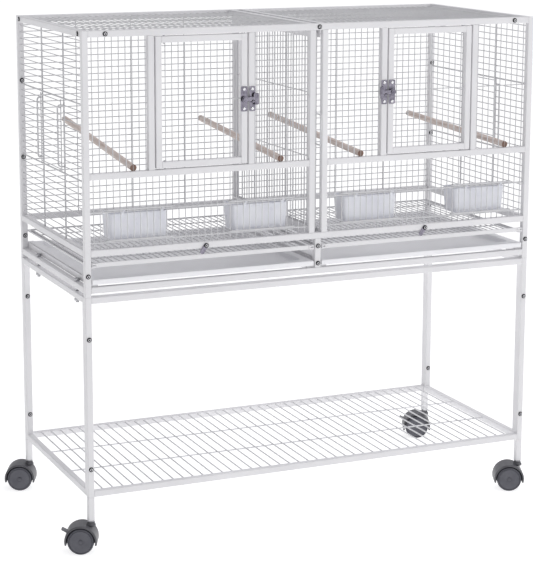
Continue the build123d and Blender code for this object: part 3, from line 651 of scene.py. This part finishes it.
def side_mesh(side):
    """Side mesh with its nest-box opening between the two upright rods."""
    shape = bmesh.new()
    x_level, x_up = side * (POST_X + UPRIGHT_OUT), side * (POST_X - CROSS_IN)
    rows = [CROSS_Z + PITCH * k for k in range(-20, 10)]
    for z in rows:
        in_nest = NEST_SILL + WIRE < z < CROSS_Z - WIRE
        spans = ((-INNER_Y, NEST_YS[0]), (NEST_YS[1], INNER_Y)) if in_nest else ((-INNER_Y, INNER_Y),)
        radius = ROD if abs(z - CROSS_Z) < WIRE or abs(z - NEST_SILL) < WIRE else WIRE
        for y0, y1 in spans:
            wire(shape, [(x_level, y0, z), (x_level, y1, z)], radius)
    for y in NEST_YS:
        upright(shape, x_up, y, CAGE_FLOOR, CEILING, ROD)
    return placed(shape)


def back_mesh():
    shape = bmesh.new()
    for side in SIDES:
        x0, x1 = sorted((side * HALF_TUBE, side * INNER_X))
        for k in range(-20, 10):
            level(shape, x0, x1, POST_Y + UPRIGHT_OUT, CROSS_Z + PITCH * k)
        for x in (0.115, 0.230, 0.345):
            upright(shape, side * x, POST_Y - CROSS_IN, CAGE_FLOOR, CEILING)
    return placed(shape)


def roof_mesh():
    shape = bmesh.new()
    for side in SIDES:
        x0, x1 = sorted((side * PANEL_X0, side * INNER_X))
        for step in STEPS:
            x = side * BAY_X + step * PITCH
            wire(shape, [(x, -INNER_Y, ROOF_Z + UPRIGHT_OUT), (x, INNER_Y, ROOF_Z + UPRIGHT_OUT)], WIRE)
        for y in (-0.123, -0.041, 0.041, 0.123):
            level(shape, x0, x1, y, ROOF_Z - CROSS_IN)
    return placed(shape)


def shelf_mesh():
    """Thick wires of the shelf, with two cross wires welded under them."""
    shape = bmesh.new()
    count, radius = 44, 0.0015
    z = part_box("shelf_grille")[1].z - radius
    spacing = 2 * INNER_X / (count + 1)
    for k in range(count):
        x = (k + 1) * spacing - INNER_X
        wire(shape, [(x, -INNER_Y, z), (x, INNER_Y, z)], radius)
    for y in (-INNER_Y / 3, INNER_Y / 3):
        level(shape, -INNER_X, INNER_X, y, z - 0.0014, radius)
    return placed(shape)


def make_panels():
    for side, word in SIDE_WORDS:
        front, flank = front_mesh(side), side_mesh(side)
        piece(f"front_mesh_{word}", front, "cage", COAT, f"front_{word}_grille", finish=SHADED_MESH_COAT)
        piece(f"side_mesh_{word}", flank, "cage", COAT, f"{word}_side_grille", finish=SHADED_MESH_COAT)
    piece("back_mesh", back_mesh(), "cage", COAT, "back_grille", finish=SHADED_MESH_COAT)
    piece("roof_mesh", roof_mesh(), "cage", COAT, "roof_grille", finish=SHADED_MESH_COAT)
    piece("shelf_mesh", shelf_mesh(), "cage", "shelf_wire", "shelf_grille")


# ---------------------------------------------------------------- main doors
def make_door(side, word):
    """Door of four rounded tubes, with its own mesh."""
    node = f"door_{word}"
    lo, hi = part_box(node)
    bottom, top = lo.z + TUBE, hi.z - TUBE
    tubes = bmesh.new()
    for x in (lo.x, hi.x - TUBE):
        bar(tubes, (x, lo.y, lo.z), (x + TUBE, hi.y, hi.z))
    for z in (lo.z, top):
        bar(tubes, (lo.x + TUBE, lo.y, z), (hi.x - TUBE, hi.y, z + TUBE))
    piece(f"{node}_tubes", tubes, node, COAT, node)
    mesh = bmesh.new()
    cell_half = DOOR_HALF - TUBE
    for step in STEPS:
        if abs(step * PITCH) < cell_half:
            upright(mesh, side * BAY_X + step * PITCH, MESH_Y - UPRIGHT_OUT, bottom, top)
    x0, x1 = side * BAY_X - cell_half, side * BAY_X + cell_half
    level(mesh, x0, x1, MESH_Y + CROSS_IN, CROSS_Z)
    piece(f"{node}_mesh", placed(mesh), node, COAT, finish=SHADED_MESH_COAT)


make_frames()
make_panels()
for side, word in SIDE_WORDS:
    make_door(side, word)

# ---------------------------------------------------------------- door latches
LATCH_Z = 0.833
PLATE_T = 0.0016
DOOR_EDGE = BAY_X - DOOR_HALF  # free edge of the right door
PLATE_Y = FRONT - PLATE_T
PIVOT_X = DOOR_EDGE + 0.007
STUD_X = DOOR_EDGE - 0.009
LEVER_Y = FRONT - 0.0068  # outer face of the lever
LEVER_T = 0.003
STUD_DROP = 0.0046  # the stud sits below the lever's pivot


def mirrored(shape, side):
    """A shape of the right-hand bay, turned over for the left-hand one."""
    if side < 0:
        bmesh.ops.scale(shape, vec=(-1, 1, 1), verts=shape.verts)
    return placed(shape)


def front_face(x, y, z):
    """Matrix on a face that looks forwards: X to the right, Y up."""
    return Matrix.Translation((x, y, z)) @ Matrix.Rotation(math.pi / 2, 4, "X")


def latch_plate(shape, x0, x1):
    outline = rounded_rectangle(x1 - x0, 0.046, 0.002)
    middle = (x0 + x1) / 2
    plate(shape, outline, front_face(middle, FRONT, LATCH_Z), PLATE_T, 0.0004)


def latch_screws(shape, x0, x1):
    middle = (x0 + x1) / 2
    for z in (LATCH_Z - 0.018, LATCH_Z + 0.018):
        dome = [(0.003, 0), (0.003, 0.0005), (0.0026, 0.0011), (0.0016, 0.0015), (0.0012, 0.0009),
                (0.0004, 0.0009)]
        lathe(shape, dome, front_face(middle, PLATE_Y, z), 24)


LATCH_SPANS = {
    "door": (DOOR_EDGE + 0.0006, DOOR_EDGE + 0.014),
    "post": (DOOR_EDGE - 0.0155, DOOR_EDGE - 0.0031),
}


def latch_lever(shape):
    """Rocking arm with a raised-edge thumb tab, notched over the keeper's stud."""
    back = front_face(0, LEVER_Y + LEVER_T, LATCH_Z)
    gap = 0.0034
    neck = 0.004
    tab_x = STUD_X - 0.006
    shoulder = PIVOT_X - 0.0045
    notch_top = flat_arc((STUD_X, -STUD_DROP), gap, 0, 180, 10)
    tab_low = flat_arc((tab_x - 0.003, -0.009), 0.002, 270, 180, 4)
    tab_high = flat_arc((tab_x - 0.003, 0.009), 0.002, 180, 90, 4)
    top = [(tab_x + 0.003, 0.011), (tab_x + 0.005, 0.009), (tab_x + 0.005, neck), (shoulder, neck)]
    nose = flat_arc((PIVOT_X, 0), 0.006, 138, -138, 16)
    outline = [(shoulder, -neck), (STUD_X + gap, -neck)] + notch_top + [(STUD_X - gap, -0.011)]
    outline += tab_low + tab_high + top + nose
    plate(shape, outline, back, LEVER_T, 0.0005)


def make_latches():
    for side, word in SIDE_WORDS:
        plates = bmesh.new()
        latch_plate(plates, *LATCH_SPANS["door"])
        post = [(0.003, 0), (0.003, 0.0054), (0.0048, 0.0055), (0.0048, 0.0064), (0.0042, 0.0068)]
        lathe(plates, post, front_face(PIVOT_X, PLATE_Y, LATCH_Z), 32)
        name = f"latch_plate_{word}"
        piece(f"{name}_chrome", mirrored(plates, side), f"door_{word}", "chrome_plate", name)
        lever = bmesh.new()
        latch_lever(lever)
        name = f"latch_lever_{word}"
        piece(f"{name}_chrome", mirrored(lever, side), name, "chrome_plate", name)
        keeper = bmesh.new()
        latch_plate(keeper, *LATCH_SPANS["post"])
        stud = [(0.0024, 0), (0.0024, 0.0058), (0.002, 0.0064), (0.001, 0.0065)]
        lathe(keeper, stud, front_face(STUD_X, PLATE_Y, LATCH_Z - STUD_DROP), 24)
        nodes = ("latch_keepers",) if side > 0 else ()
        piece(f"latch_keeper_{word}_chrome", mirrored(keeper, side), "cage", "chrome_plate", *nodes)
        for place, body in (("door", f"door_{word}"), ("post", "cage")):
            heads = bmesh.new()
            latch_screws(heads, *LATCH_SPANS[place])
            name = f"latch_{place}_screws_{word}"
            # The latch screw heads are near-white steel: a painted highlight.
            piece(name, mirrored(heads, side), body, "chrome_plate", finish=HIGHLIT_STEEL)


# ---------------------------------------------------------------- screws and bolts
SCREW_R = 0.0045
HEAD_HEIGHT = 0.0022
SOCKET_R = 0.0018  # out to a corner of the hexagon


def hexagon(angle):
    """Distance to a hexagon's edge, for one whose corners are 1 away."""
    within = (angle % (math.pi / 3)) - math.pi / 6
    return math.cos(math.pi / 6) / math.cos(within)


def screw_head(shape, matrix):
    """Middle of a button head, with its hexagon socket, drawn in near-white steel as a painted
    highlight.
    """
    steps = 36
    angles = [2 * math.pi * k / steps for k in range(steps)]
    socket = [SOCKET_R * hexagon(a) for a in angles]
    loops = []
    for reaches, z in (
        ([0.0026] * steps, 0.0), ([0.0026] * steps, 0.0019), ([0.0023] * steps, 0.0021),
        (socket, 0.0020), (socket, 0.0008)
    ):
        loops.append([
            matrix @ Vector((r * math.cos(a), r * math.sin(a), z)) for r, a in zip(reaches, angles)
        ])
    rings(shape, loops)


def make_screws():
    """Screws along Y have their heads to the front, the others to the outside."""
    heads, rims = bmesh.new(), bmesh.new()
    for lo, hi in solids_of("frame_screws"):
        middle, size = (lo + hi) / 2, hi - lo
        if size.y > size.x:
            seat, normal = (middle.x, lo.y + HEAD_HEIGHT, middle.z), (0, -1, 0)
        elif middle.x > 0:
            seat, normal = (hi.x - HEAD_HEIGHT, middle.y, middle.z), (1, 0, 0)
        else:
            seat, normal = (lo.x + HEAD_HEIGHT, middle.y, middle.z), (-1, 0, 0)
        matrix = facing(seat, normal, (0, 0, 1))
        screw_head(heads, matrix)
        rim = [(0.002, 0.0), (SCREW_R, 0.0), (SCREW_R, 0.0008), (0.0042, 0.0014), (0.0036, 0.0018),
               (0.0025, 0.0017)]
        lathe(rims, rim, matrix, 36)
    # The head middles are near-white: a painted highlight.
    piece("screw_heads", heads, "cage", "zinc_steel", "frame_screws", finish=HIGHLIT_STEEL)
    # The outer rim of each head is near-black: painted shade.
    piece("screw_rims", rims, "cage", "zinc_steel", finish=SHADED_STEEL)


def make_bolts():
    """Bolts through the base rails and the stand's side rails, with nuts below."""
    shape = bmesh.new()
    for lo, hi in solids_of("stand_bolts"):
        middle = (lo + hi) / 2
        head_z = hi.z - 0.006
        profile = [(0.003, lo.z), (0.003, head_z), (0.005, head_z), (0.005, hi.z - 0.001)]
        profile += [(0.0047, hi.z - 0.0003), (0.004, hi.z), (0.0022, hi.z), (0.0020, hi.z - 0.003)]
        lathe(shape, profile, Matrix.Translation((middle.x, middle.y, 0)), 36)
        nut = [(0.0049, 0.0030), (0.0057, 0.0036), (0.0057, 0.0084), (0.0049, 0.0090)]
        lathe(shape, nut, Matrix.Translation((middle.x, middle.y, lo.z)), 6)
    piece("stand_bolts_steel", shape, "cage", "zinc_steel", "stand_bolts")


# ---------------------------------------------------------------- perches
PERCH_R = 0.0062
PERCH_PAST = 0.004
PERCH_NOTCH = 0.0013  # half the width of the notch
PERCH_NOTCH_DEPTH = 0.008
PERCH_TIP = 0.0012  # depth of the dark end grain
PERCH_SEATS = (
    (-BAY_X - 10.5 * PITCH, 6, 0), (-BAY_X + 12.5 * PITCH, 7, 0),
    (BAY_X - 11.5 * PITCH, 7, -0.010), (BAY_X + 13.5 * PITCH, 8, 0),
)


def prong(shape, matrix, turn, z0, z1, tip_inset):
    """Half of a notched end: a round bar with one side sawn off."""
    spread = math.acos(PERCH_NOTCH / PERCH_R)
    loops = []
    heights = ((z0, 0), (z1 - tip_inset, 0), (z1, tip_inset)) if tip_inset else ((z0, 0), (z1, 0))
    for z, inset in heights:
        radius = PERCH_R - inset
        loop = []
        for k in range(13):
            a = -spread + 2 * spread * k / 12
            x = max(radius * math.cos(a), PERCH_NOTCH)
            y = radius * math.sin(a)
            loop.append(matrix @ Matrix.Rotation(turn, 4, "Z") @ Vector((x, y, z)))
        loops.append(loop)
    rings(shape, loops)


def make_perches():
    wood, ends = bmesh.new(), bmesh.new()
    seat_z = MID_RAIL + TUBE + PERCH_R + 0.0002
    for x, rows_down, drift in PERCH_SEATS:
        front = Vector((x, MESH_Y, seat_z))
        back = Vector((x + drift, POST_Y, CROSS_Z - rows_down * PITCH))
        along = (back - front).normalized()
        matrix = facing(front - along * PERCH_PAST, along)
        length = (back - front).length + 2 * PERCH_PAST
        heights = (PERCH_NOTCH_DEPTH, length / 2, length - PERCH_NOTCH_DEPTH)
        lathe(wood, [(PERCH_R, z) for z in heights], matrix, 32)
        turned = Matrix.Rotation(math.pi, 4, "X")
        far = matrix @ Matrix.Translation((0, 0, length)) @ turned
        for end, first_turn in ((matrix, 0), (far, math.pi / 2)):
            tip_base = end @ Matrix.Translation((0, 0, PERCH_TIP)) @ turned
            for turn in (first_turn, first_turn + math.pi):
                prong(wood, end, turn, PERCH_TIP, PERCH_NOTCH_DEPTH, 0)
                prong(ends, tip_base, -turn, 0, PERCH_TIP, 0.0009)
    piece("perch_dowels", placed(wood), "cage", "perch_wood", "perches")
    piece("perch_tips", placed(ends), "cage", "perch_wood", finish=END_GRAIN)


# ---------------------------------------------------------------- feeders
FEEDER_Y = MESH_Y - 0.004
FEEDER_HALF = 5 * PITCH
EYELET_R = 0.004
CUP_W, CUP_D, CUP_WALL = 0.114, 0.050, 0.0018
CUP_Z0, CUP_Z1 = 0.585, 0.634


def feeder_door(middle):
    """Small mesh door with an eyelet at each corner, round a wire of the front mesh."""
    shape = bmesh.new()
    low, high = FEEDER_SILL + 0.0032, FEEDER_HEAD + 0.004
    for k in range(-4, 5):
        upright(shape, middle + PITCH * k, FEEDER_Y, low, high)
    for z in (low, high):
        level(shape, middle - FEEDER_HALF, middle + FEEDER_HALF, FEEDER_Y, z, ROD)
        for x in (middle - FEEDER_HALF, middle + FEEDER_HALF):
            circle = flat_arc((x, MESH_Y), EYELET_R, 0, 350, 35)
            ring = [(px, py, z) for px, py in circle]
            wire(shape, ring, WIRE, closed=True)
    return placed(shape)


def feed_cup(middle):
    """Open moulded cup with a rolled rim and two hooks over the wire above it."""
    shape = bmesh.new()
    centre = (middle, MESH_Y + 0.003 + CUP_D / 2)
    outer = ((CUP_Z0, 0.0085, 0.005), (CUP_Z0 + 0.0006, 0.0068, 0.006), (CUP_Z0 + 0.0022, 0.0058, 0.006),
             (CUP_Z1 - 0.0022, 0.0002, 0.007), (CUP_Z1 - 0.0006, 0.0, 0.007), (CUP_Z1, 0.0008, 0.007))
    inner = ((CUP_Z1, 2 * CUP_WALL - 0.0006, 0.0058), (CUP_Z1 - 0.0008, 2 * CUP_WALL, 0.0055),
             (CUP_Z0 + CUP_WALL + 0.004, 0.006 + 2 * CUP_WALL, 0.005),
             (CUP_Z0 + CUP_WALL + 0.001, 0.0075 + 2 * CUP_WALL, 0.005),
             (CUP_Z0 + CUP_WALL, 0.0105 + 2 * CUP_WALL, 0.005))
    loops = [
        [(px, py, z) for px, py in rounded_rectangle(CUP_W - less, CUP_D - less, radius, 5, centre)]
        for z, less, radius in outer + inner
    ]
    rings(shape, loops)
    for step in (-3, 3):
        x0 = middle + step * PITCH + (PITCH - 0.005) / 2
        over = flat_arc((MESH_Y, FEEDER_HEAD), 0.00255, 180, 0, 10)
        leg = [(MESH_Y + 0.00255, FEEDER_HEAD - 0.003), (MESH_Y + 0.0036, CUP_Z1 - 0.003)]
        strip(shape, over + leg, x0, x0 + 0.005, 0.0012)
    return placed(shape)


def make_feeders():
    for place, middle in FEEDER_MIDDLES.items():
        node = f"feeder_door_{place}"
        piece(f"{node}_wires", feeder_door(middle), node, COAT, node, finish=SHADED_MESH_COAT)
        node = f"feed_cup_{place}"
        piece(f"{node}_shell", feed_cup(middle), "cage", "cup_plastic", node)


# ---------------------------------------------------------------- divider and nest-box doors
def make_divider():
    panel = bmesh.new()
    rod = 0.002
    y0, y1 = -0.190, 0.188
    z0, z1 = CAGE_FLOOR + 0.004, CEILING - 0.006
    for k in range(1, 29):
        wire(panel, [(UPRIGHT_OUT, y0 + PITCH * k, z0), (UPRIGHT_OUT, y0 + PITCH * k, z1)], WIRE)
    border = bent([(0, y0, z0), (0, y1, z0), (0, y1, z1), (0, y0, z1)], 0.004, closed=True)
    wire(panel, border, rod, closed=True)
    for z in (MID_RAIL + TUBE, CROSS_Z):
        wire(panel, [(-CROSS_IN, y0, z), (-CROSS_IN, y1, z)], WIRE)
    piece("divider_wires", placed(panel), "divider", COAT, "divider_panel", finish=SHADED_MESH_COAT)
    handle = bmesh.new()
    foot, grip = y0 - rod, FRONT - 0.008
    corners = [(0, foot, 0.739), (0, grip, 0.739), (0, grip, 0.797), (0, foot, 0.797)]
    wire(handle, bent(corners, 0.006), 0.0015, 12)
    piece("divider_bail", placed(handle), "divider", COAT, "divider_handle", finish=SHADED_MESH_COAT)


def make_nest_doors():
    """Sliding wire doors over the nest-box openings, and the loops that guide them."""
    loops = bmesh.new()
    loop_x, foot_x = HALF_WIDTH + 0.005, POST_X + 0.0016
    loop_z0, loop_z1 = CROSS_Z - 10 * PITCH, CROSS_Z - PITCH
    for side, word in SIDE_WORDS:
        door = bmesh.new()
        x = side * (HALF_WIDTH - 0.0018)
        y0, y1 = NEST_YS[0] + 0.004, NEST_YS[1] - 0.004
        for k in range(11):
            z = CROSS_Z - PITCH * k - 0.006
            wire(door, [(x, y0, z), (x, y1, z)], WIRE)
        for y in (y0, y1):
            upright(door, x, y, NEST_SILL + 0.002, CROSS_Z - 0.002)
        name = f"nest_door_{word}"
        piece(f"{name}_wires", placed(door), name, COAT, name, finish=SHADED_MESH_COAT)
        for y, inward in zip(NEST_YS, (1, -1)):
            ends, grip = y - inward * 0.003, y + inward * 0.003
            corners = [(side * foot_x, ends, loop_z0), (side * loop_x, grip, loop_z0),
                       (side * loop_x, grip, loop_z1), (side * foot_x, ends, loop_z1)]
            wire(loops, bent(corners, 0.005), 0.0015, 10)
    piece("nest_door_loops", placed(loops), "cage", COAT, "nest_door_guides", finish=SHADED_MESH_COAT)


# ---------------------------------------------------------------- grates and trays
BASE_X0, BASE_X1 = HALF_TUBE + 0.0025, INNER_X - 0.002
BASE_MIDDLE = (BASE_X0 + BASE_X1) / 2
BASE_WIDTH = BASE_X1 - BASE_X0
GRATE_Z = 0.541
GRATE_Y = (-0.202, 0.186)
TRAY_Y = (-0.200, 0.190)
RIM_Z = 0.5154
PAN_Z = 0.5042
SHEET = 0.0012
RIM_W = 0.016
LIP_Y = -0.204


def grate():
    """Wire floor of the right bay with its flat, slotted front bar."""
    wires, front = bmesh.new(), bmesh.new()
    edge = BASE_WIDTH / 2 - 0.0035
    x0, x1 = BASE_MIDDLE - edge, BASE_MIDDLE + edge
    for step in STEPS:
        x = BASE_MIDDLE + step * PITCH
        z = GRATE_Z + UPRIGHT_OUT
        wire(wires, [(x, GRATE_Y[0], z), (x, GRATE_Y[1], z)], WIRE)
    for y in (-0.130, 0.0, 0.130):
        level(wires, x0, x1, y, GRATE_Z - CROSS_IN)
    level(wires, x0, x1, GRATE_Y[1], GRATE_Z, ROD)
    for x in (x0, x1):
        wire(wires, [(x, GRATE_Y[0], GRATE_Z), (x, GRATE_Y[1] + ROD, GRATE_Z)], ROD)
    height, thick, end = 0.008, 0.003, 0.012
    bar_z = GRATE_Z + 0.0025
    main = (BASE_WIDTH - 2 * end) / 2
    bar(front, (BASE_MIDDLE - main, GRATE_Y[0] - thick, bar_z - height / 2),
        (BASE_MIDDLE + main, GRATE_Y[0], bar_z + height / 2), 0.0004, 2)
    for side in SIDES:
        middle = BASE_MIDDLE + side * (main + end / 2)
        outer = rounded_rectangle(end, height, 0.0006, 4)
        hole = rounded_rectangle(0.006, 0.0026, 0.0012, 4, (side * 0.002, 0))
        at = front_face(middle, GRATE_Y[0], bar_z)
        loops = [[at @ Vector((*p, z)) for p in points] for points, z in
                 ((outer, 0), (outer, thick), (hole, thick), (hole, 0))]
        rings(front, loops, closed=True)
    return wires, front


def tray():
    """Pressed tray of the right bay: pan, flat rim and a turned-down front lip."""
    shape = bmesh.new()
    middle = (BASE_MIDDLE, (TRAY_Y[0] + TRAY_Y[1]) / 2)
    depth = TRAY_Y[1] - TRAY_Y[0]
    pan_w, pan_d = BASE_WIDTH - 2 * RIM_W, depth - 2 * RIM_W
    top, floor = RIM_Z + SHEET, PAN_Z + SHEET
    upper = ((floor, -0.010, 0.008), (floor + 0.0008, -0.0046, 0.010), (floor + 0.003, -0.0024, 0.011),
             (top - 0.0022, -0.0020, 0.011), (top - 0.0006, -0.0012, 0.0115), (top, 0.0010, 0.012),
             (top, 2 * RIM_W - 0.0008, 0.003), (top - 0.0004, 2 * RIM_W, 0.003))
    lower = ((RIM_Z + 0.0003, 2 * RIM_W, 0.003), (RIM_Z, 2 * RIM_W - 0.0006, 0.003),
             (RIM_Z, 0.0, 0.012), (PAN_Z + 0.003, -0.0002, 0.012), (PAN_Z + 0.0008, -0.002, 0.011),
             (PAN_Z, -0.008, 0.009))
    loops = [
        [(x, y, z) for x, y in rounded_rectangle(pan_w + more, pan_d + more, radius, 5, middle)]
        for z, more, radius in upper + lower
    ]
    rings(shape, loops)
    mid_sheet = RIM_Z + SHEET / 2
    lip = [(TRAY_Y[0] + 0.004, mid_sheet), (LIP_Y + 0.0018, mid_sheet)]
    lip += flat_arc((LIP_Y + 0.0018, mid_sheet - 0.0012), 0.0012, 90, 180, 5)
    lip += [(LIP_Y + 0.0006, RIM_Z - 0.0083)]
    strip(shape, lip, BASE_X0, BASE_X1, SHEET)
    return shape


def make_base():
    for side, word in SIDE_WORDS:
        wires, front = grate()
        name = f"grate_{word}"
        piece(f"{name}_wires", mirrored(wires, side), name, COAT, name, finish=SHADED_MESH_COAT)
        piece(f"{name}_bar", mirrored(front, side), name, COAT)
        name = f"tray_{word}"
        piece(f"{name}_pan", mirrored(tray(), side), name, "tray_steel", name)


# ---------------------------------------------------------------- swing latches
SWING_X = (HALF_TUBE + INNER_X) / 2
SWING_ANGLE = math.radians(35)
SWING_LENGTH = 0.014


def make_swing_latches():
    for side, word in SIDE_WORDS:
        shape = bmesh.new()
        turn = -SWING_ANGLE - math.pi / 2
        reach = (SWING_LENGTH * math.cos(turn), SWING_LENGTH * math.sin(turn))
        outline = slot_outline((0, 0), reach, 0.0045)
        at = front_face(side * SWING_X, FRONT - 0.0002, CAGE_FLOOR - 0.007)
        plate(shape, outline, at, 0.0016, 0.0004)
        name = f"swing_latch_{word}"
        piece(f"{name}_strip", placed(shape), name, "chrome_plate", name)


# ---------------------------------------------------------------- casters
WHEEL_R = 0.025
TRAIL = 0.018
TRAIL_ANGLE = math.radians(156)
HOOD_OUT = 0.0305
WEB_R = 0.0272
BRAKE_ANGLE = math.radians(28)
BRAKE_SEAT = 0.02875  # from the axle to the pedal's pin
CASTERS = {
    "front_left": (-1, -1, True), "front_right": (1, -1, False),
    "back_left": (-1, 1, False), "back_right": (1, 1, True),
}


def hood(shape, across):
    """Fender over both wheels, its rims rounded; across is the matrix on the axle's middle."""
    section = [(-0.0225, 0.0278), (-0.0222, 0.0291), (-0.0212, 0.0301), (-0.0196, 0.0305),
               (0.0196, 0.0305), (0.0212, 0.0301), (0.0222, 0.0291), (0.0225, 0.0278),
               (0.0222, 0.0272), (0.0214, 0.027), (-0.0214, 0.027), (-0.0222, 0.0272)]
    low = math.asin(-0.007 / HOOD_OUT)
    loops = []
    steps = 40
    for k in range(steps + 1):
        a = low + (math.pi - 2 * low) * k / steps
        loops.append([across @ Vector((r * math.cos(a), r * math.sin(a), z)) for z, r in section])
    rings(shape, loops)


def caster_body(at, across, braked):
    """Swivel body: neck, web between the wheels, and the hood."""
    shape = bmesh.new()
    hood(shape, across)
    low = math.degrees(math.asin(-0.008 / WEB_R))
    web = flat_arc((0, 0), WEB_R, low, 180 - low, 40)
    plate(shape, web, across @ Matrix.Translation((0, 0, -0.0035)), 0.007, 0.0005)
    neck = [(0.0089, 0.0502), (0.0089, 0.0530), (0.0080, 0.0545), (0.0072, 0.0560), (0.0070, 0.0578),
            (0.0066, 0.0582)]
    lathe(shape, neck, at, 40)
    if braked:
        for z in (-0.0088, 0.0068):
            seat = (BRAKE_SEAT * math.cos(BRAKE_ANGLE), BRAKE_SEAT * math.sin(BRAKE_ANGLE), z)
            lathe(shape, [(0.0018, 0), (0.0021, 0.0004), (0.0021, 0.0016), (0.0018, 0.002)],
                  across @ Matrix.Translation(seat), 20)
    return shape


def wheel(shape, axle):
    """One wheel with a raised tread ring, a groove and a shallow dished face."""
    profile = [(0.0029, 0.0043), (0.0218, 0.0042), (0.0237, 0.0047), (0.0246, 0.0058), (0.025, 0.0072),
               (0.025, 0.0186), (0.0246, 0.0200), (0.0238, 0.0210), (0.0228, 0.0215), (0.0222, 0.0213),
               (0.0218, 0.0200), (0.0212, 0.0200), (0.0209, 0.0211), (0.0195, 0.0214), (0.0120, 0.0210),
               (0.0056, 0.0209), (0.0052, 0.0202), (0.0040, 0.0202), (0.0037, 0.0212), (0.0008, 0.0214)]
    lathe(shape, profile, axle, 72)


def brake_pedal(across):
    """Round-ended pedal on its pin, with a collar round the pin."""
    shape = bmesh.new()
    direction = Vector((math.cos(BRAKE_ANGLE), math.sin(BRAKE_ANGLE)))
    outline = slot_outline(direction * (BRAKE_SEAT + 0.0002), direction * (BRAKE_SEAT + 0.0113), 0.0018)
    plate(shape, outline, across @ Matrix.Translation((0, 0, -0.006)), 0.012, 0.0010)
    pin = across @ Matrix.Translation((*(direction * BRAKE_SEAT), 0))
    lathe(shape, [(0.0011, -0.0084), (0.0011, 0.0084)], pin, 16)
    collar = [(0.0020, -0.0059), (0.0025, -0.0054), (0.0025, 0.0054), (0.0020, 0.0059)]
    lathe(shape, collar, pin, 24)
    return shape


def make_casters():
    flanges = bmesh.new()
    for place, (sx, sy, braked) in CASTERS.items():
        corner = Matrix.Translation((sx * POST_X, sy * POST_Y, 0))
        at = corner @ Matrix.Rotation(TRAIL_ANGLE, 4, "Z")
        across = at @ Matrix.Translation((TRAIL, 0, WHEEL_R)) @ Matrix.Rotation(math.pi / 2, 4, "X")
        name = f"caster_housing_{place}"
        shell = placed(caster_body(at, across, braked))
        piece(f"{name}_shell", shell, f"caster_{place}", "caster_plastic", name)
        wheels = bmesh.new()
        wheel(wheels, across)
        wheel(wheels, across @ Matrix.Rotation(math.pi, 4, "X"))
        lathe(wheels, [(0.0029, -0.006), (0.0029, 0.006)], across, 24)
        name = f"caster_wheels_{place}"
        piece(f"{name}_pair", placed(wheels), f"wheels_{place}", "caster_wheel", name)
        if braked:
            name = f"caster_brake_{place}"
            pedal = placed(brake_pedal(across))
            piece(f"{name}_pedal", pedal, f"brake_{place}", "caster_plastic", name, finish=PEDAL)
        stem = [(0.004, 0.0512), (0.004, 0.0586), (0.0066, 0.0587), (0.0068, 0.0592), (0.0068, 0.0604),
                (0.0062, 0.0609), (0.0046, 0.061), (0.0046, 0.0908)]
        lathe(flanges, stem, corner, 36)
    piece("caster_flanges", placed(flanges), "cage", "zinc_steel", "caster_stems")


make_latches()
make_screws()
make_bolts()
make_perches()
make_feeders()
make_divider()
make_nest_doors()
make_base()
make_swing_latches()
make_casters()
